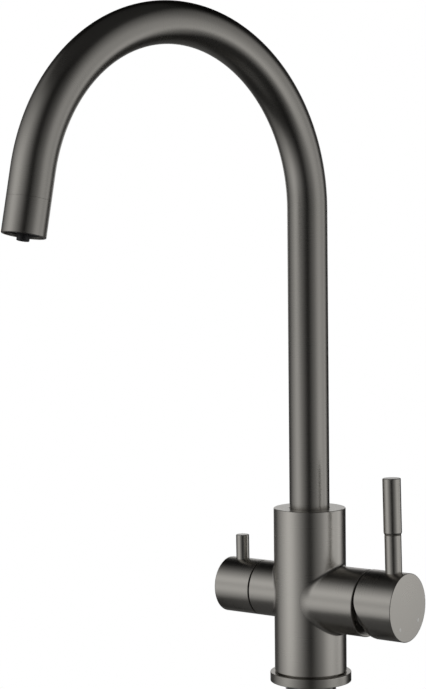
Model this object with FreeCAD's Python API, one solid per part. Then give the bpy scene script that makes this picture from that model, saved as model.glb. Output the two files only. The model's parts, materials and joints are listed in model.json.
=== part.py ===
import FreeCAD, Part
import math
import os

# Three-way kitchen mixer tap, in millimetres. +Z is up and the origin is on the column's
# axis at the worktop. The front is -Y, the mixer lever is on +X and the filter knob on -X.
# A length along a side barrel is a distance from the column's axis.

# Clearances
fit_gap = 0.1
turn_gap = 0.2
swing_gap = 0.3
film_gap = 0.1
knob_gap = 0.8
base_gap = 0.8
edge_break = 0.4

# Column and base ring
column_d = 45.0
column_top = 109.0
junction_round = 1.2
base_ring_proud = 2.9
base_ring_w = 5.3
base_ring_h = 5.8
base_ring_floor = 1.5
base_seal_inset = 1.9
base_seal_w = 2.4
base_seal_h = 1.2

# Mounting shank and the clamp set under the worktop
shank_d = 32.0
shank_bore = 27.0
shank_engaged = 12.0
shank_below = 50.0
worktop = 30.0
washer_d = 50.0
rubber_washer_h = 3.0
steel_washer_h = 2.5
back_nut_flats = 44.0
back_nut_h = 8.0

# Threaded holes for the supply tails, and the waterways drilled in the body
tail_d = 9.0
tail_depth = 10.0
tail_side = 6.8
duct_d = 5.6
filter_duct_d = 4.4
outlet_duct_d = 4.0
duct_wall = 2.0
port_side = 5.2
port_up = 5.2

# Swivel bore for the spout, and the spigot for filtered water in its middle
swivel_depth = 33.0
spigot_foot_d = 8.0
spigot_seat = 5.5
spigot_shoulder = 2.0
spigot_d = 6.0
spigot_reach = 18.0
spigot_bore = 3.6
spigot_ring_wire = 1.0
spigot_ring_up = 14.0

# Spout: a bent tube, swung to one side of the front
tube_d = 25.0
tube_wall = 1.5
tube_seat = 24.0
bend_start = 295.0
bend_r = 107.5
bend_sweep = 168.7
outlet_straight = 36.6
spout_swing = -10.5

# Swivel insert in the foot of the spout
insert_lift = 1.0
insert_bore = 15.0
insert_spigot = 12.0
insert_side_gap = 0.4
swivel_ring_wire = 2.4
swivel_ring_ups = (6.8, 16.0)
ring_squeeze = 0.05
groove_extra = 0.6
bush_w = 3.0
bush_t = 1.3
bush_ups = (2.5, 20.0)
bush_slit = 1.0
keeper_up = 11.4
keeper_groove = 1.5

# Screw in the back of the column that keeps the spout in
keeper_d = 6.0
keeper_tip_d = 3.6
keeper_tip = 1.4
keeper_sunk = 1.8
keeper_key = 3.0
key_depth = 2.5

# Inner tube that carries the filtered water apart from the tap water
inner_tube_d = 8.0
inner_tube_wall = 1.0
ferrule_d = 11.0
ferrule_low = 4.0
ferrule_socket = 15.5
ferrule_grip = 6.5
ferrule_web = 1.0
ferrule_fins = 3
ferrule_fin_t = 1.2
ferrule_fin_h = 14.0

# Outlet collar, aerator and filtered water nozzle
collar_h = 20.4
collar_spigot = 8.0
collar_seam = 0.1
collar_ledge_up = 11.5
collar_ledge_h = 2.5
collar_ledge_w = 2.5
collar_neck_wall = 1.2
aerator_recess = 1.2
aerator_skirt_t = 1.3
aerator_eye_t = 1.1
aerator_ribs = 6
aerator_rib_t = 1.0
aerator_seal_h = 2.0
screen_recess = 0.7
screen_t = 0.6
screen_holes = (12, 18)
screen_margin = 0.6
screen_hole_d = 1.4
nozzle_d = 7.2
nozzle_bore = 3.6
nozzle_proud = 2.9
nozzle_body = 9.5
nozzle_socket_wall = 1.2
nozzle_grip = 6.0

# Mixer barrel, with a 35 mm ceramic cartridge in it
mixer_z = 53.1
mixer_end = 43.4
cartridge_d = 35.0
cartridge_gap = 0.3
nut_step = 1.2
barrel_wall = 1.75
pivot_depth = 10.0
stem_arm = 9.0
driver_floor = 3.3
moving_disc_t = 3.5
fixed_disc_t = 3.5
cartridge_base_t = 6.0
moving_disc_d = 22.0
disc_port_d = 5.0
outlet_port_down = 4.0
mix_hollow_d = 10.8
mix_hollow_down = 3.2
port_seal_wire = 1.6
cartridge_wall = 2.1
disc_rim_gap = 0.2
carrier_d = 26.2
cartridge_lip_t = 2.4
cartridge_lip_bore = 23.6
cartridge_nose_wall = 1.2
cartridge_nose_end = 41.0
nut_depth = 6.9
nut_notches = 6
nut_notch_w = 3.0
nut_notch_h = 1.6
shroud_gap = 0.4
shroud_bore = 25.0
shroud_rim = 1.0

# Disc driver, carrier, pivot pin and stem of the cartridge
driver_w = 12.0
driver_l = 14.0
driver_h = 5.9
driver_peg_d = 2.4
driver_peg_h = 2.0
driver_peg_up = 4.5
driver_flare_h = 1.1
driver_flare = 4.0
fork_w = 10.6
fork_floor = 8.5
pin_d = 3.2
pin_end_gap = 0.9
pin_run = 0.05
stem_w = 8.0
stem_boss_d = 10.0
stem_arm_d = 4.0
stem_ball_d = 4.8
ball_play = 0.45
ball_floor = 0.6
stem_into_hub = 11.0

# Mixer handle: a hub with a two-step lever
hub_proud = 0.25
hub_end = 71.0
hub_top_gap = 1.5
hub_bottom_gap = 5.0
hub_heel_r = 8.5
hub_heel_from = -35.0
hub_skirt_wall = 2.2
hub_solid = 16.5
lever_at = 61.5
lever_lean = -1.2
lever_d = 10.3
lever_step = 96.9
lever_top = 131.4
lever_grip_d = 11.2
lever_taper = 1.4
lever_seam = 0.25
lever_core_d = 7.2
lever_cap = 3.0
lever_sink = 5.0
lever_tenon_d = 6.8
lever_tenon = 8.0
handle_screw_d = 5.0
handle_screw_sunk = 3.0
handle_screw_at = 60.0
dot_d = 2.3
dot_depth = 0.6
dot_out = 15.0
dot_angles = (-128.0, -38.0)

# Filter barrel, with a quarter-turn ceramic valve in it
filter_z = 55.1
filter_end = 35.1
filter_barrel_d = 34.8
filter_floor = 10.0
valve_bore = 21.0
valve_neck_d = 18.0
valve_neck = 8.5
valve_hex_flats = 22.0
valve_hex_h = 3.0
valve_chamber_d = 15.0
valve_chamber = 10.5
valve_seal_t = 1.5
valve_seal_bore = 9.0
valve_disc_t = 3.0
valve_disc_port = 3.4
valve_disc_port_out = 3.6
valve_window_d = 5.0
valve_ring_wire = 1.8
valve_ring_at = 30.0
spindle_d = 8.0
spindle_flange_t = 3.6
spindle_end = 57.5
spindle_ring_wire = 1.5
spindle_ring_at = 28.0

# Filter knob with its short pin
knob_end = 62.0
knob_round = 0.8
knob_wall = 1.5
knob_hollow = 8.4
pin_lever_at = 51.6
pin_lever_lean = -0.5
pin_lever_d = 8.4
pin_lever_top = 87.7
pin_lever_sink = 2.9
pin_lever_tenon_d = 6.0
pin_lever_tenon = 6.0
knob_screw_d = 4.0
knob_screw_sunk = 2.5

# Directions, and the places that several pieces share
origin = FreeCAD.Vector(0, 0, 0)
along_x = FreeCAD.Vector(1, 0, 0)
along_y = FreeCAD.Vector(0, 1, 0)
along_z = FreeCAD.Vector(0, 0, 1)
mixer_axis = FreeCAD.Vector(0, 0, mixer_z)
filter_axis = FreeCAD.Vector(0, 0, filter_z)
filter_way = -along_x

base_ring_d = column_d + 2 * base_ring_proud
base_ring_bore = base_ring_d - 2 * base_ring_w
base_ring_hole = shank_d + 2 * swing_gap
foot_d = base_ring_bore - 2 * fit_gap
column_low = base_ring_h + base_gap
base_seal_d = base_ring_d - 2 * base_seal_inset
tube_bore = tube_d - 2 * tube_wall
collar_ledge_bore = tube_bore - 2 * collar_ledge_w
swivel_bore = tube_d + 2 * turn_gap
swivel_floor = column_top - swivel_depth
insert_low = swivel_floor + insert_lift
tube_low = swivel_floor + tube_seat
insert_d = swivel_bore - 2 * insert_side_gap
shank_top = base_ring_floor + shank_engaged
tail_top = shank_top + tail_depth

cartridge_bore = cartridge_d + 2 * cartridge_gap
nut_d = cartridge_bore + 2 * nut_step
mixer_barrel_d = nut_d + 2 * barrel_wall
pivot_x = mixer_end - pivot_depth
ball_x = pivot_x - stem_arm
driver_x = ball_x - driver_floor
moving_disc_x = driver_x - moving_disc_t
fixed_disc_x = moving_disc_x - film_gap - fixed_disc_t
mixer_floor = fixed_disc_x - cartridge_base_t
carrier_x = driver_x + swing_gap
carrier_end = cartridge_nose_end - cartridge_lip_t - swing_gap
nut_x = mixer_end - nut_depth
fixed_disc_d = cartridge_d - 2 * cartridge_wall - 2 * disc_rim_gap
hub_d = mixer_barrel_d + 2 * hub_proud
hub_bore = hub_d - 2 * hub_skirt_wall
hub_solid_x = hub_end - hub_solid
shroud_r = hub_bore / 2 - shroud_gap
stem_end = hub_solid_x + stem_into_hub
mixer_duct_x = mixer_floor - duct_wall - duct_d / 2
outlet_duct_x = mixer_floor + cartridge_base_t / 2

filter_duct_x = filter_floor - duct_wall - filter_duct_d / 2
valve_fixed_x = filter_floor + valve_seal_t
valve_moving_x = valve_fixed_x + valve_disc_t + film_gap
spindle_x = valve_moving_x + valve_disc_t
valve_chamber_end = valve_fixed_x + valve_chamber
valve_disc_d = valve_chamber_d - 2 * turn_gap
knob_start = filter_end + knob_gap


def point(x, y, z):
    """A point or a direction."""
    return FreeCAD.Vector(x, y, z)


def upright(solid):
    """The solid with its faces pointing outwards."""
    if solid.Volume < 0:
        solid.reverse()
    return solid


def turned(outline, foot, way):
    """A solid turned round the line through foot; outline gives (distance along it, radius)."""
    side = along_y if abs(way.dot(along_y)) < 0.5 else along_x
    side = side - way * side.dot(way)
    side.normalize()
    corners = [foot + way * far + side * radius for far, radius in outline]
    face = Part.Face(Part.makePolygon(corners + corners[:1]))
    return upright(face.revolve(foot, way, 360))


def rod(diameter, start, stop, foot, way):
    """A round bar between two distances along the line through foot."""
    low, high = min(start, stop), max(start, stop)
    return Part.makeCylinder(diameter / 2, high - low, foot + way * low, way)


def sleeve(outer, bore, start, stop, foot, way):
    """A round tube between two distances along the line through foot."""
    low, high = min(start, stop), max(start, stop)
    outline = [(low, bore / 2), (low, outer / 2), (high, outer / 2), (high, bore / 2)]
    return turned(outline, foot, way)


def ring(major_d, wire, at, foot, way):
    """A round seal ring whose wire is centred on the given diameter."""
    return Part.makeTorus(major_d / 2, wire / 2, foot + way * at, way)


def block(low, high):
    """A rectangular block between two corners."""
    size = high - low
    return Part.makeBox(size.x, size.y, size.z, low)


def hexagon(flats, start, stop, foot, way):
    """A hexagonal bar between two distances along the line through foot."""
    side = along_y if abs(way.dot(along_y)) < 0.5 else along_x
    other = way.cross(side)
    radius = flats / math.sqrt(3)
    corners = []
    for step in range(6):
        turn = math.radians(60 * step)
        corners.append(foot + way * start + (side * math.cos(turn) + other * math.sin(turn)) * radius)
    face = Part.Face(Part.makePolygon(corners + corners[:1]))
    return upright(face.extrude(way * (stop - start)))


def round_edges_at(solid, foot, way, far, diameter):
    """The circular edges of a solid at one distance along a line, of one diameter."""
    found = []
    for edge in solid.Edges:
        if not isinstance(edge.Curve, Part.Circle):
            continue
        off = edge.Curve.Center - foot
        on_line = (off - way * off.dot(way)).Length < 1e-4
        if on_line and abs(off.dot(way) - far) < 1e-4 and abs(edge.Curve.Radius * 2 - diameter) < 1e-4:
            found.append(edge)
    return found


def chamfered(solid, foot, way, far, diameter, size):
    """The solid with the named round edge broken."""
    return solid.makeChamfer(size, round_edges_at(solid, foot, way, far, diameter))


def filleted(solid, foot, way, far, diameter, size):
    """The solid with the named round edge rounded."""
    return solid.makeFillet(size, round_edges_at(solid, foot, way, far, diameter))


def crossings(solid):
    """The edges where round bars run into each other, neither straight nor circular."""
    return [edge for edge in solid.Edges if not isinstance(edge.Curve, (Part.Circle, Part.Line))]


def leaning(shape, x, z, degrees):
    """A lever's shape, turned a little about the cross axis at its hub."""
    copy = shape.copy()
    copy.rotate(point(x, 0, z), along_y, degrees)
    return copy


def grub_screw(diameter, key, start, stop, foot, way):
    """A headless screw from stop, its point, back to start, where the key goes in."""
    screw = rod(diameter, start, stop, foot, way)
    return screw.cut(hexagon(key, start, start + key_depth, foot, way))


# Outline of the spout's middle line: the riser, the bend, and the straight run to the outlet.
# It is worked out in the plane of the front and then swung about the column's axis.
bend_turn = math.radians(bend_sweep)
bend_centre = point(0, -bend_r, bend_start)
bend_stop = point(0, -bend_r * (1 - math.cos(bend_turn)), bend_start + bend_r * math.sin(bend_turn))
outlet_way = point(0, -math.sin(bend_turn), math.cos(bend_turn))
outlet_rim = bend_stop + outlet_way * outlet_straight
up_spout = -outlet_way


def swung(shape):
    """A piece of the spout, swung from straight ahead to its place at rest."""
    copy = shape.copy()
    copy.rotate(origin, along_z, spout_swing)
    return copy


def bent_bar(diameter, low, end_gap):
    """A round bar along the spout's middle line, from a height to a gap above the outlet's rim."""
    disc = Part.Face(Part.Wire(Part.makeCircle(diameter / 2, point(0, 0, low), along_z)))
    riser = disc.extrude(point(0, 0, bend_start - low))
    disc = Part.Face(Part.Wire(Part.makeCircle(diameter / 2, point(0, 0, bend_start), along_z)))
    bend = disc.revolve(bend_centre, along_x, bend_sweep)
    disc = Part.Face(Part.Wire(Part.makeCircle(diameter / 2, bend_stop, outlet_way)))
    run = disc.extrude(outlet_way * (outlet_straight - end_gap))
    return upright(riser).fuse([upright(bend), upright(run)]).removeSplitter()


def bent_tube(diameter, wall, low, end_gap):
    """A tube along the spout's middle line."""
    outer = bent_bar(diameter, low, end_gap)
    return outer.cut(bent_bar(diameter - 2 * wall, low, end_gap))


# Body: column, side barrels, bores and waterways


def make_body():
    """The cast body, with every bore that it holds."""
    column = rod(column_d, column_low, column_top, origin, along_z)
    column = chamfered(column, origin, along_z, column_top, column_d, edge_break)
    mixer_barrel = rod(mixer_barrel_d, 0, mixer_end, mixer_axis, along_x)
    mixer_barrel = chamfered(mixer_barrel, mixer_axis, along_x, mixer_end, mixer_barrel_d, edge_break)
    filter_barrel = rod(filter_barrel_d, 0, filter_end, filter_axis, filter_way)
    filter_barrel = chamfered(
        filter_barrel, filter_axis, filter_way, filter_end, filter_barrel_d, edge_break
    )
    outside = column.fuse([mixer_barrel, filter_barrel]).removeSplitter()
    outside = outside.makeFillet(junction_round, crossings(outside))
    body = outside.fuse(rod(foot_d, base_ring_floor, column_low, origin, along_z))
    bores = [
        rod(swivel_bore, swivel_floor, column_top, origin, along_z),
        rod(shank_d, base_ring_floor, shank_top, origin, along_z),
        rod(cartridge_bore, mixer_floor, mixer_end, mixer_axis, along_x),
        rod(nut_d, nut_x, mixer_end, mixer_axis, along_x),
        rod(valve_bore, filter_floor, filter_end, filter_axis, filter_way),
        rod(spigot_foot_d, swivel_floor - spigot_seat, swivel_floor, origin, along_z),
    ]
    return body.cut(bores + waterways() + [keeper_hole()])


def waterways():
    """The supply tails' holes and the ducts from them to the valves and up to the spout."""
    ducts = []
    port_z = mixer_z + port_up
    for way in (1, -1):
        tail = point(mixer_duct_x, way * tail_side, 0)
        ducts.append(rod(tail_d, shank_top, tail_top, tail, along_z))
        foot = point(mixer_duct_x, way * port_side, 0)
        ducts.append(rod(duct_d, tail_top, port_z, foot, along_z))
        ducts.append(Part.makeSphere(duct_d / 2, foot + along_z * port_z))
        ducts.append(rod(duct_d, 0, mixer_floor - mixer_duct_x, foot + along_z * port_z, along_x))
    foot = point(-filter_duct_x, 0, 0)
    ducts.append(rod(tail_d, shank_top, tail_top, foot, along_z))
    ducts.append(rod(filter_duct_d, tail_top, filter_z, foot, along_z))
    ducts.append(Part.makeSphere(filter_duct_d / 2, point(-filter_duct_x, 0, filter_z)))
    ducts.append(rod(filter_duct_d, filter_duct_x, filter_floor, filter_axis, filter_way))
    foot = point(outlet_duct_x, 0, 0)
    ducts.append(rod(outlet_duct_d, mixer_z + cartridge_d / 2 - 1, swivel_floor, foot, along_z))
    ducts.append(filtered_duct())
    return ducts


def filtered_duct():
    """The slanted duct from the filter valve's chamber up to the spigot in the middle."""
    high = point(0, 0, swivel_floor - spigot_seat)
    low = point(-valve_fixed_x - valve_neck / 2, 0, filter_z + valve_neck_d / 2)
    way = high - low
    length = way.Length
    way.normalize()
    return rod(filter_duct_d, 0, length, low, way).fuse(Part.makeSphere(filter_duct_d / 2, high))


def keeper_hole():
    """The hole in the back of the column for the screw that keeps the spout in."""
    foot = point(0, 0, insert_low + keeper_up)
    return rod(keeper_d, swivel_bore / 2 - 1, column_d, foot, along_y)


def make_keeper_screw():
    """The screw whose point runs in the insert's groove."""
    foot = point(0, 0, insert_low + keeper_up)
    start = column_d / 2 - keeper_sunk
    shoulder = swivel_bore / 2 + turn_gap
    screw = grub_screw(keeper_d, keeper_key, -start, -shoulder, foot, -along_y)
    return screw.fuse(rod(keeper_tip_d, -shoulder, -(shoulder - keeper_tip), foot, -along_y))


def make_base_ring():
    """The ring round the column's foot, with the floor that the foot stands on."""
    outline = [
        (0, base_ring_hole / 2),
        (0, base_ring_d / 2),
        (base_ring_h, base_ring_d / 2),
        (base_ring_h, base_ring_bore / 2),
        (base_ring_floor, base_ring_bore / 2),
        (base_ring_floor, base_ring_hole / 2),
    ]
    solid = turned(outline, origin, along_z)
    solid = chamfered(solid, origin, along_z, base_ring_h, base_ring_d, edge_break)
    return solid.cut(make_base_seal())


def make_base_seal():
    """The flat seal, pressed level with the ring's underside."""
    return sleeve(base_seal_d, base_seal_d - 2 * base_seal_w, 0, base_seal_h, origin, along_z)


def make_shank():
    """The hollow threaded shank that goes down through the worktop."""
    solid = sleeve(shank_d, shank_bore, -shank_below, shank_top, origin, along_z)
    return chamfered(solid, origin, along_z, -shank_below, shank_d, edge_break)


def make_clamp_set():
    """The rubber washer, steel washer and back nut that clamp the worktop."""
    rubber_low = -worktop - rubber_washer_h
    steel_low = rubber_low - steel_washer_h
    nut_low = steel_low - back_nut_h
    hole = shank_d + 2 * turn_gap
    rubber = sleeve(washer_d, hole, rubber_low, -worktop, origin, along_z)
    steel = sleeve(washer_d, hole, steel_low, rubber_low, origin, along_z)
    nut = hexagon(back_nut_flats, nut_low, steel_low, origin, along_z)
    corner = back_nut_flats / math.sqrt(3)
    facing = corner - back_nut_flats / 2
    bevel = [
        (nut_low, 0),
        (nut_low, back_nut_flats / 2),
        (nut_low + facing, corner),
        (steel_low, corner),
        (steel_low, 0),
    ]
    nut = nut.common(turned(bevel, origin, along_z))
    nut = nut.cut(rod(shank_d, nut_low, steel_low, origin, along_z))
    return rubber, steel, nut


def make_spigot():
    """The fixed spigot that feeds the filtered water into the spout's inner tube."""
    low = swivel_floor - spigot_seat
    shoulder = swivel_floor + spigot_shoulder
    top = shoulder + spigot_reach
    outline = [
        (low, spigot_bore / 2),
        (low, spigot_foot_d / 2),
        (shoulder, spigot_foot_d / 2),
        (shoulder, spigot_d / 2),
        (top, spigot_d / 2),
        (top, spigot_bore / 2),
    ]
    solid = turned(outline, origin, along_z)
    return solid.cut(spigot_groove())


def spigot_groove():
    """The groove round the spigot for its seal ring."""
    at = swivel_floor + spigot_ring_up
    half = spigot_ring_wire / 2 + groove_extra / 4
    floor_d = spigot_d + 2 * turn_gap - 2 * ring_squeeze - 2 * spigot_ring_wire
    return sleeve(spigot_d + 1, floor_d, at - half, at + half, origin, along_z)


def make_spigot_ring():
    """The seal ring between the spigot and the turning ferrule."""
    major = spigot_d + 2 * turn_gap - 2 * ring_squeeze - spigot_ring_wire
    return ring(major, spigot_ring_wire, swivel_floor + spigot_ring_up, origin, along_z)


# Spout


def make_spout_tube():
    """The swan-neck tube, from the swivel to the outlet collar."""
    return swung(bent_tube(tube_d, tube_wall, tube_low, collar_h))


def swivel_groove(at, half, floor_d):
    """One groove round the swivel insert."""
    return sleeve(insert_d + 1, floor_d, at - half, at + half, origin, along_z)


def make_insert():
    """The turned insert in the spout's foot, with its grooves."""
    top = tube_low + insert_spigot
    outline = [
        (insert_low, insert_bore / 2),
        (insert_low, insert_d / 2),
        (tube_low, insert_d / 2),
        (tube_low, tube_bore / 2),
        (top, tube_bore / 2),
        (top, insert_bore / 2),
    ]
    solid = turned(outline, origin, along_z)
    ring_floor = swivel_bore - 2 * ring_squeeze - 2 * swivel_ring_wire
    ring_half = swivel_ring_wire / 2 + groove_extra / 2
    cuts = [swivel_groove(insert_low + up, ring_half, ring_floor) for up in swivel_ring_ups]
    bush_floor = swivel_bore - 2 * fit_gap - 2 * bush_t
    for up in bush_ups:
        cuts.append(swivel_groove(insert_low + up, bush_w / 2, bush_floor))
    keeper_half = keeper_tip_d / 2 + swing_gap
    cuts.append(swivel_groove(insert_low + keeper_up, keeper_half, insert_d - 2 * keeper_groove))
    return solid.cut(cuts)


def make_swivel_rings():
    """The two seal rings of the swivel."""
    major = swivel_bore - 2 * ring_squeeze - swivel_ring_wire
    found = [ring(major, swivel_ring_wire, insert_low + up, origin, along_z) for up in swivel_ring_ups]
    return Part.makeCompound(found)


def make_bushes():
    """The two split plastic bushes that the spout turns on."""
    outer = swivel_bore - 2 * fit_gap
    found = []
    for up in bush_ups:
        low = insert_low + up - bush_w / 2
        bush = sleeve(outer, outer - 2 * bush_t, low, low + bush_w, origin, along_z)
        slit = block(point(0, -bush_slit / 2, low), point(outer, bush_slit / 2, low + bush_w))
        found.append(swung(bush.cut(slit)))
    return Part.makeCompound(found)


def make_inner_tube():
    """The filtered water's own tube, from the ferrule to the nozzle."""
    low = swivel_floor + ferrule_low + ferrule_socket + ferrule_web
    stop = nozzle_body + ferrule_web
    return swung(bent_tube(inner_tube_d, inner_tube_wall, low, stop))


def make_ferrule():
    """The ferrule that turns on the spigot and holds the inner tube, centred by its fins."""
    low = swivel_floor + ferrule_low
    web_low = low + ferrule_socket
    web_top = web_low + ferrule_web
    top = web_top + ferrule_grip
    outline = [
        (low, spigot_d / 2 + turn_gap),
        (low, ferrule_d / 2),
        (top, ferrule_d / 2),
        (top, inner_tube_d / 2),
        (web_top, inner_tube_d / 2),
        (web_top, inner_tube_d / 2 - inner_tube_wall),
        (web_low, inner_tube_d / 2 - inner_tube_wall),
        (web_low, spigot_d / 2 + turn_gap),
    ]
    solid = turned(outline, origin, along_z)
    fin_low = top - ferrule_fin_h
    fins = []
    for step in range(ferrule_fins):
        fin = block(
            point(ferrule_d / 2 - 1, -ferrule_fin_t / 2, fin_low),
            point(insert_bore / 2 + 1, ferrule_fin_t / 2, top),
        )
        fin.rotate(origin, along_z, 360 * step / ferrule_fins)
        fins.append(fin)
    fins = fins[0].fuse(fins[1:]).common(rod(insert_bore, fin_low, top, origin, along_z))
    return swung(solid.fuse(fins))


def make_collar():
    """The outlet collar, flush with the tube, with a ledge above the aerator."""
    ledge_top = collar_ledge_up + collar_ledge_h
    neck_bore = tube_bore - 2 * collar_neck_wall
    top = collar_h + collar_spigot
    outline = [
        (0, tube_bore / 2),
        (0, tube_d / 2 - edge_break),
        (edge_break, tube_d / 2),
        (collar_h - collar_seam, tube_d / 2),
        (collar_h, tube_d / 2 - collar_seam),
        (collar_h, tube_bore / 2),
        (top, tube_bore / 2),
        (top, neck_bore / 2),
        (ledge_top, neck_bore / 2),
        (ledge_top, collar_ledge_bore / 2),
        (collar_ledge_up, collar_ledge_bore / 2),
        (collar_ledge_up, tube_bore / 2),
    ]
    return swung(turned(outline, outlet_rim, up_spout))


def make_aerator():
    """The aerator's frame: a skirt and an eye joined by ribs."""
    top = collar_ledge_up - aerator_seal_h
    outer = tube_bore - 2 * fit_gap
    eye = nozzle_d + 2 * fit_gap + 2 * aerator_eye_t
    rib_low = aerator_recess + screen_recess + screen_t
    skirt = sleeve(outer, outer - 2 * aerator_skirt_t, aerator_recess, top, outlet_rim, up_spout)
    centre = sleeve(eye, nozzle_d + 2 * fit_gap, aerator_recess, top, outlet_rim, up_spout)
    ribs = []
    for step in range(aerator_ribs):
        rib = block(
            point(eye / 2 - 0.5, -aerator_rib_t / 2, rib_low),
            point(outer / 2 - aerator_skirt_t / 2, aerator_rib_t / 2, top),
        )
        rib.rotate(origin, along_z, 360 * step / aerator_ribs)
        ribs.append(on_outlet(rib))
    return swung(skirt.fuse([centre] + ribs))


def on_outlet(shape):
    """A shape made upright at the origin, laid on the outlet's rim and pointing up the spout."""
    copy = shape.copy()
    copy.rotate(origin, along_x, -(180 - bend_sweep))
    copy.translate(outlet_rim)
    return copy


def make_screen():
    """The pierced screen at the aerator's mouth."""
    outer = tube_bore - 2 * fit_gap - 2 * aerator_skirt_t
    eye = nozzle_d + 2 * fit_gap + 2 * aerator_eye_t
    low = aerator_recess + screen_recess
    keep = screen_margin + screen_hole_d / 2
    holes = []
    for count, out in zip(screen_holes, (eye / 2 + keep, outer / 2 - keep)):
        for step in range(count):
            turn = 2 * math.pi * step / count
            foot = point(out * math.cos(turn), out * math.sin(turn), 0)
            holes.append(rod(screen_hole_d, low, low + screen_t, foot, along_z))
    plate = sleeve(outer, eye, low, low + screen_t, origin, along_z).cut(holes)
    return swung(on_outlet(plate))


def make_aerator_seal():
    """The washer between the aerator and the collar's ledge."""
    low = collar_ledge_up - aerator_seal_h
    outer = tube_bore - 2 * fit_gap
    return swung(sleeve(outer, collar_ledge_bore, low, collar_ledge_up, outlet_rim, up_spout))


def make_nozzle():
    """The nozzle for filtered water, which shows in the middle of the outlet."""
    socket_d = inner_tube_d + 2 * nozzle_socket_wall
    seat = nozzle_body + ferrule_web
    top = seat + nozzle_grip
    outline = [
        (-nozzle_proud, nozzle_bore / 2),
        (-nozzle_proud, nozzle_d / 2 - edge_break),
        (-nozzle_proud + edge_break, nozzle_d / 2),
        (nozzle_body, nozzle_d / 2),
        (nozzle_body, socket_d / 2),
        (top, socket_d / 2),
        (top, inner_tube_d / 2),
        (seat, inner_tube_d / 2),
        (seat, nozzle_bore / 2),
    ]
    return swung(turned(outline, outlet_rim, up_spout))


# Mixer cartridge


def port_places():
    """The two supply ports, side by side above the cartridge's middle."""
    return [point(0, side, mixer_z + port_up) for side in (port_side, -port_side)]


def make_cartridge_base():
    """The cartridge's base, with the supply ports and the way out to the spout."""
    solid = rod(cartridge_d, mixer_floor, fixed_disc_x, mixer_axis, along_x)
    cuts = []
    for place in port_places():
        cuts.append(rod(disc_port_d, mixer_floor, fixed_disc_x, place, along_x))
        cuts.append(ring(disc_port_d + port_seal_wire, port_seal_wire, mixer_floor, place, along_x))
    outlet = point(0, 0, mixer_z - outlet_port_down)
    cuts.append(rod(disc_port_d, outlet_duct_x, fixed_disc_x, outlet, along_x))
    foot = point(outlet_duct_x, 0, mixer_z)
    cuts.append(rod(outlet_duct_d, -outlet_port_down, cartridge_d, foot, along_z))
    return solid.cut(cuts)


def make_port_seals():
    """The half-sunk seal rings round the supply ports."""
    front = block(
        point(mixer_floor, -cartridge_d, mixer_z - cartridge_d),
        point(fixed_disc_x, cartridge_d, mixer_z + cartridge_d),
    )
    found = []
    for place in port_places():
        seal = ring(disc_port_d + port_seal_wire, port_seal_wire, mixer_floor, place, along_x)
        found.append(seal.common(front))
    return Part.makeCompound([solid for shape in found for solid in shape.Solids])


def make_fixed_disc():
    """The fixed ceramic disc."""
    solid = rod(fixed_disc_d, fixed_disc_x, fixed_disc_x + fixed_disc_t, mixer_axis, along_x)
    places = port_places() + [point(0, 0, mixer_z - outlet_port_down)]
    stop = fixed_disc_x + fixed_disc_t
    return solid.cut([rod(disc_port_d, fixed_disc_x, stop, place, along_x) for place in places])


def make_cartridge_body():
    """The cartridge's housing, with its nose and the lip that keeps the carrier in."""
    chamber = cartridge_d - 2 * cartridge_wall
    bore = carrier_d + 2 * swing_gap
    lip_x = cartridge_nose_end - cartridge_lip_t
    outline = [
        (fixed_disc_x, chamber / 2),
        (fixed_disc_x, cartridge_d / 2),
        (nut_x, cartridge_d / 2),
        (nut_x, bore / 2 + cartridge_nose_wall),
        (cartridge_nose_end, bore / 2 + cartridge_nose_wall),
        (cartridge_nose_end, cartridge_lip_bore / 2),
        (lip_x, cartridge_lip_bore / 2),
        (lip_x, bore / 2),
        (driver_x, bore / 2),
        (driver_x, chamber / 2),
    ]
    return turned(outline, mixer_axis, along_x)


def make_cartridge_nut():
    """The ring nut that holds the cartridge in its barrel, with notches for its key."""
    nose = carrier_d + 2 * swing_gap + 2 * cartridge_nose_wall
    solid = sleeve(nut_d, nose + 2 * swing_gap, nut_x, mixer_end, mixer_axis, along_x)
    notches = []
    for step in range(nut_notches):
        notch = block(
            point(mixer_end - nut_notch_h, -nut_notch_w / 2, mixer_z + nut_d / 2 - nut_notch_h),
            point(mixer_end, nut_notch_w / 2, mixer_z + nut_d / 2),
        )
        notch.rotate(mixer_axis, along_x, 360 * step / nut_notches)
        notches.append(notch)
    return solid.cut(notches)


def make_shroud():
    """The domed ring over the nut; its outside is part of a ball round the pivot."""
    ball = Part.makeSphere(shroud_r, point(pivot_x, 0, mixer_z))
    outside = rod(hub_d, mixer_end, pivot_x + shroud_r, mixer_axis, along_x)
    hole = rod(shroud_bore, mixer_end, pivot_x + shroud_r, mixer_axis, along_x)
    inner = Part.makeSphere(shroud_r - shroud_rim, point(pivot_x, 0, mixer_z))
    return ball.common(outside).cut([hole, inner])


def make_moving_disc():
    """The sliding ceramic disc, with its mixing hollow and the driver's holes."""
    solid = rod(moving_disc_d, moving_disc_x, driver_x, mixer_axis, along_x)
    foot = point(0, 0, mixer_z - mix_hollow_down)
    hollow = rod(mix_hollow_d, moving_disc_x, moving_disc_x + moving_disc_t / 2, foot, along_x)
    cuts = [hollow]
    for side in (driver_peg_up, -driver_peg_up):
        foot = point(0, 0, mixer_z + side)
        cuts.append(rod(driver_peg_d, driver_x - driver_peg_h / 2, driver_x, foot, along_x))
    return solid.cut(cuts)


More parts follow.
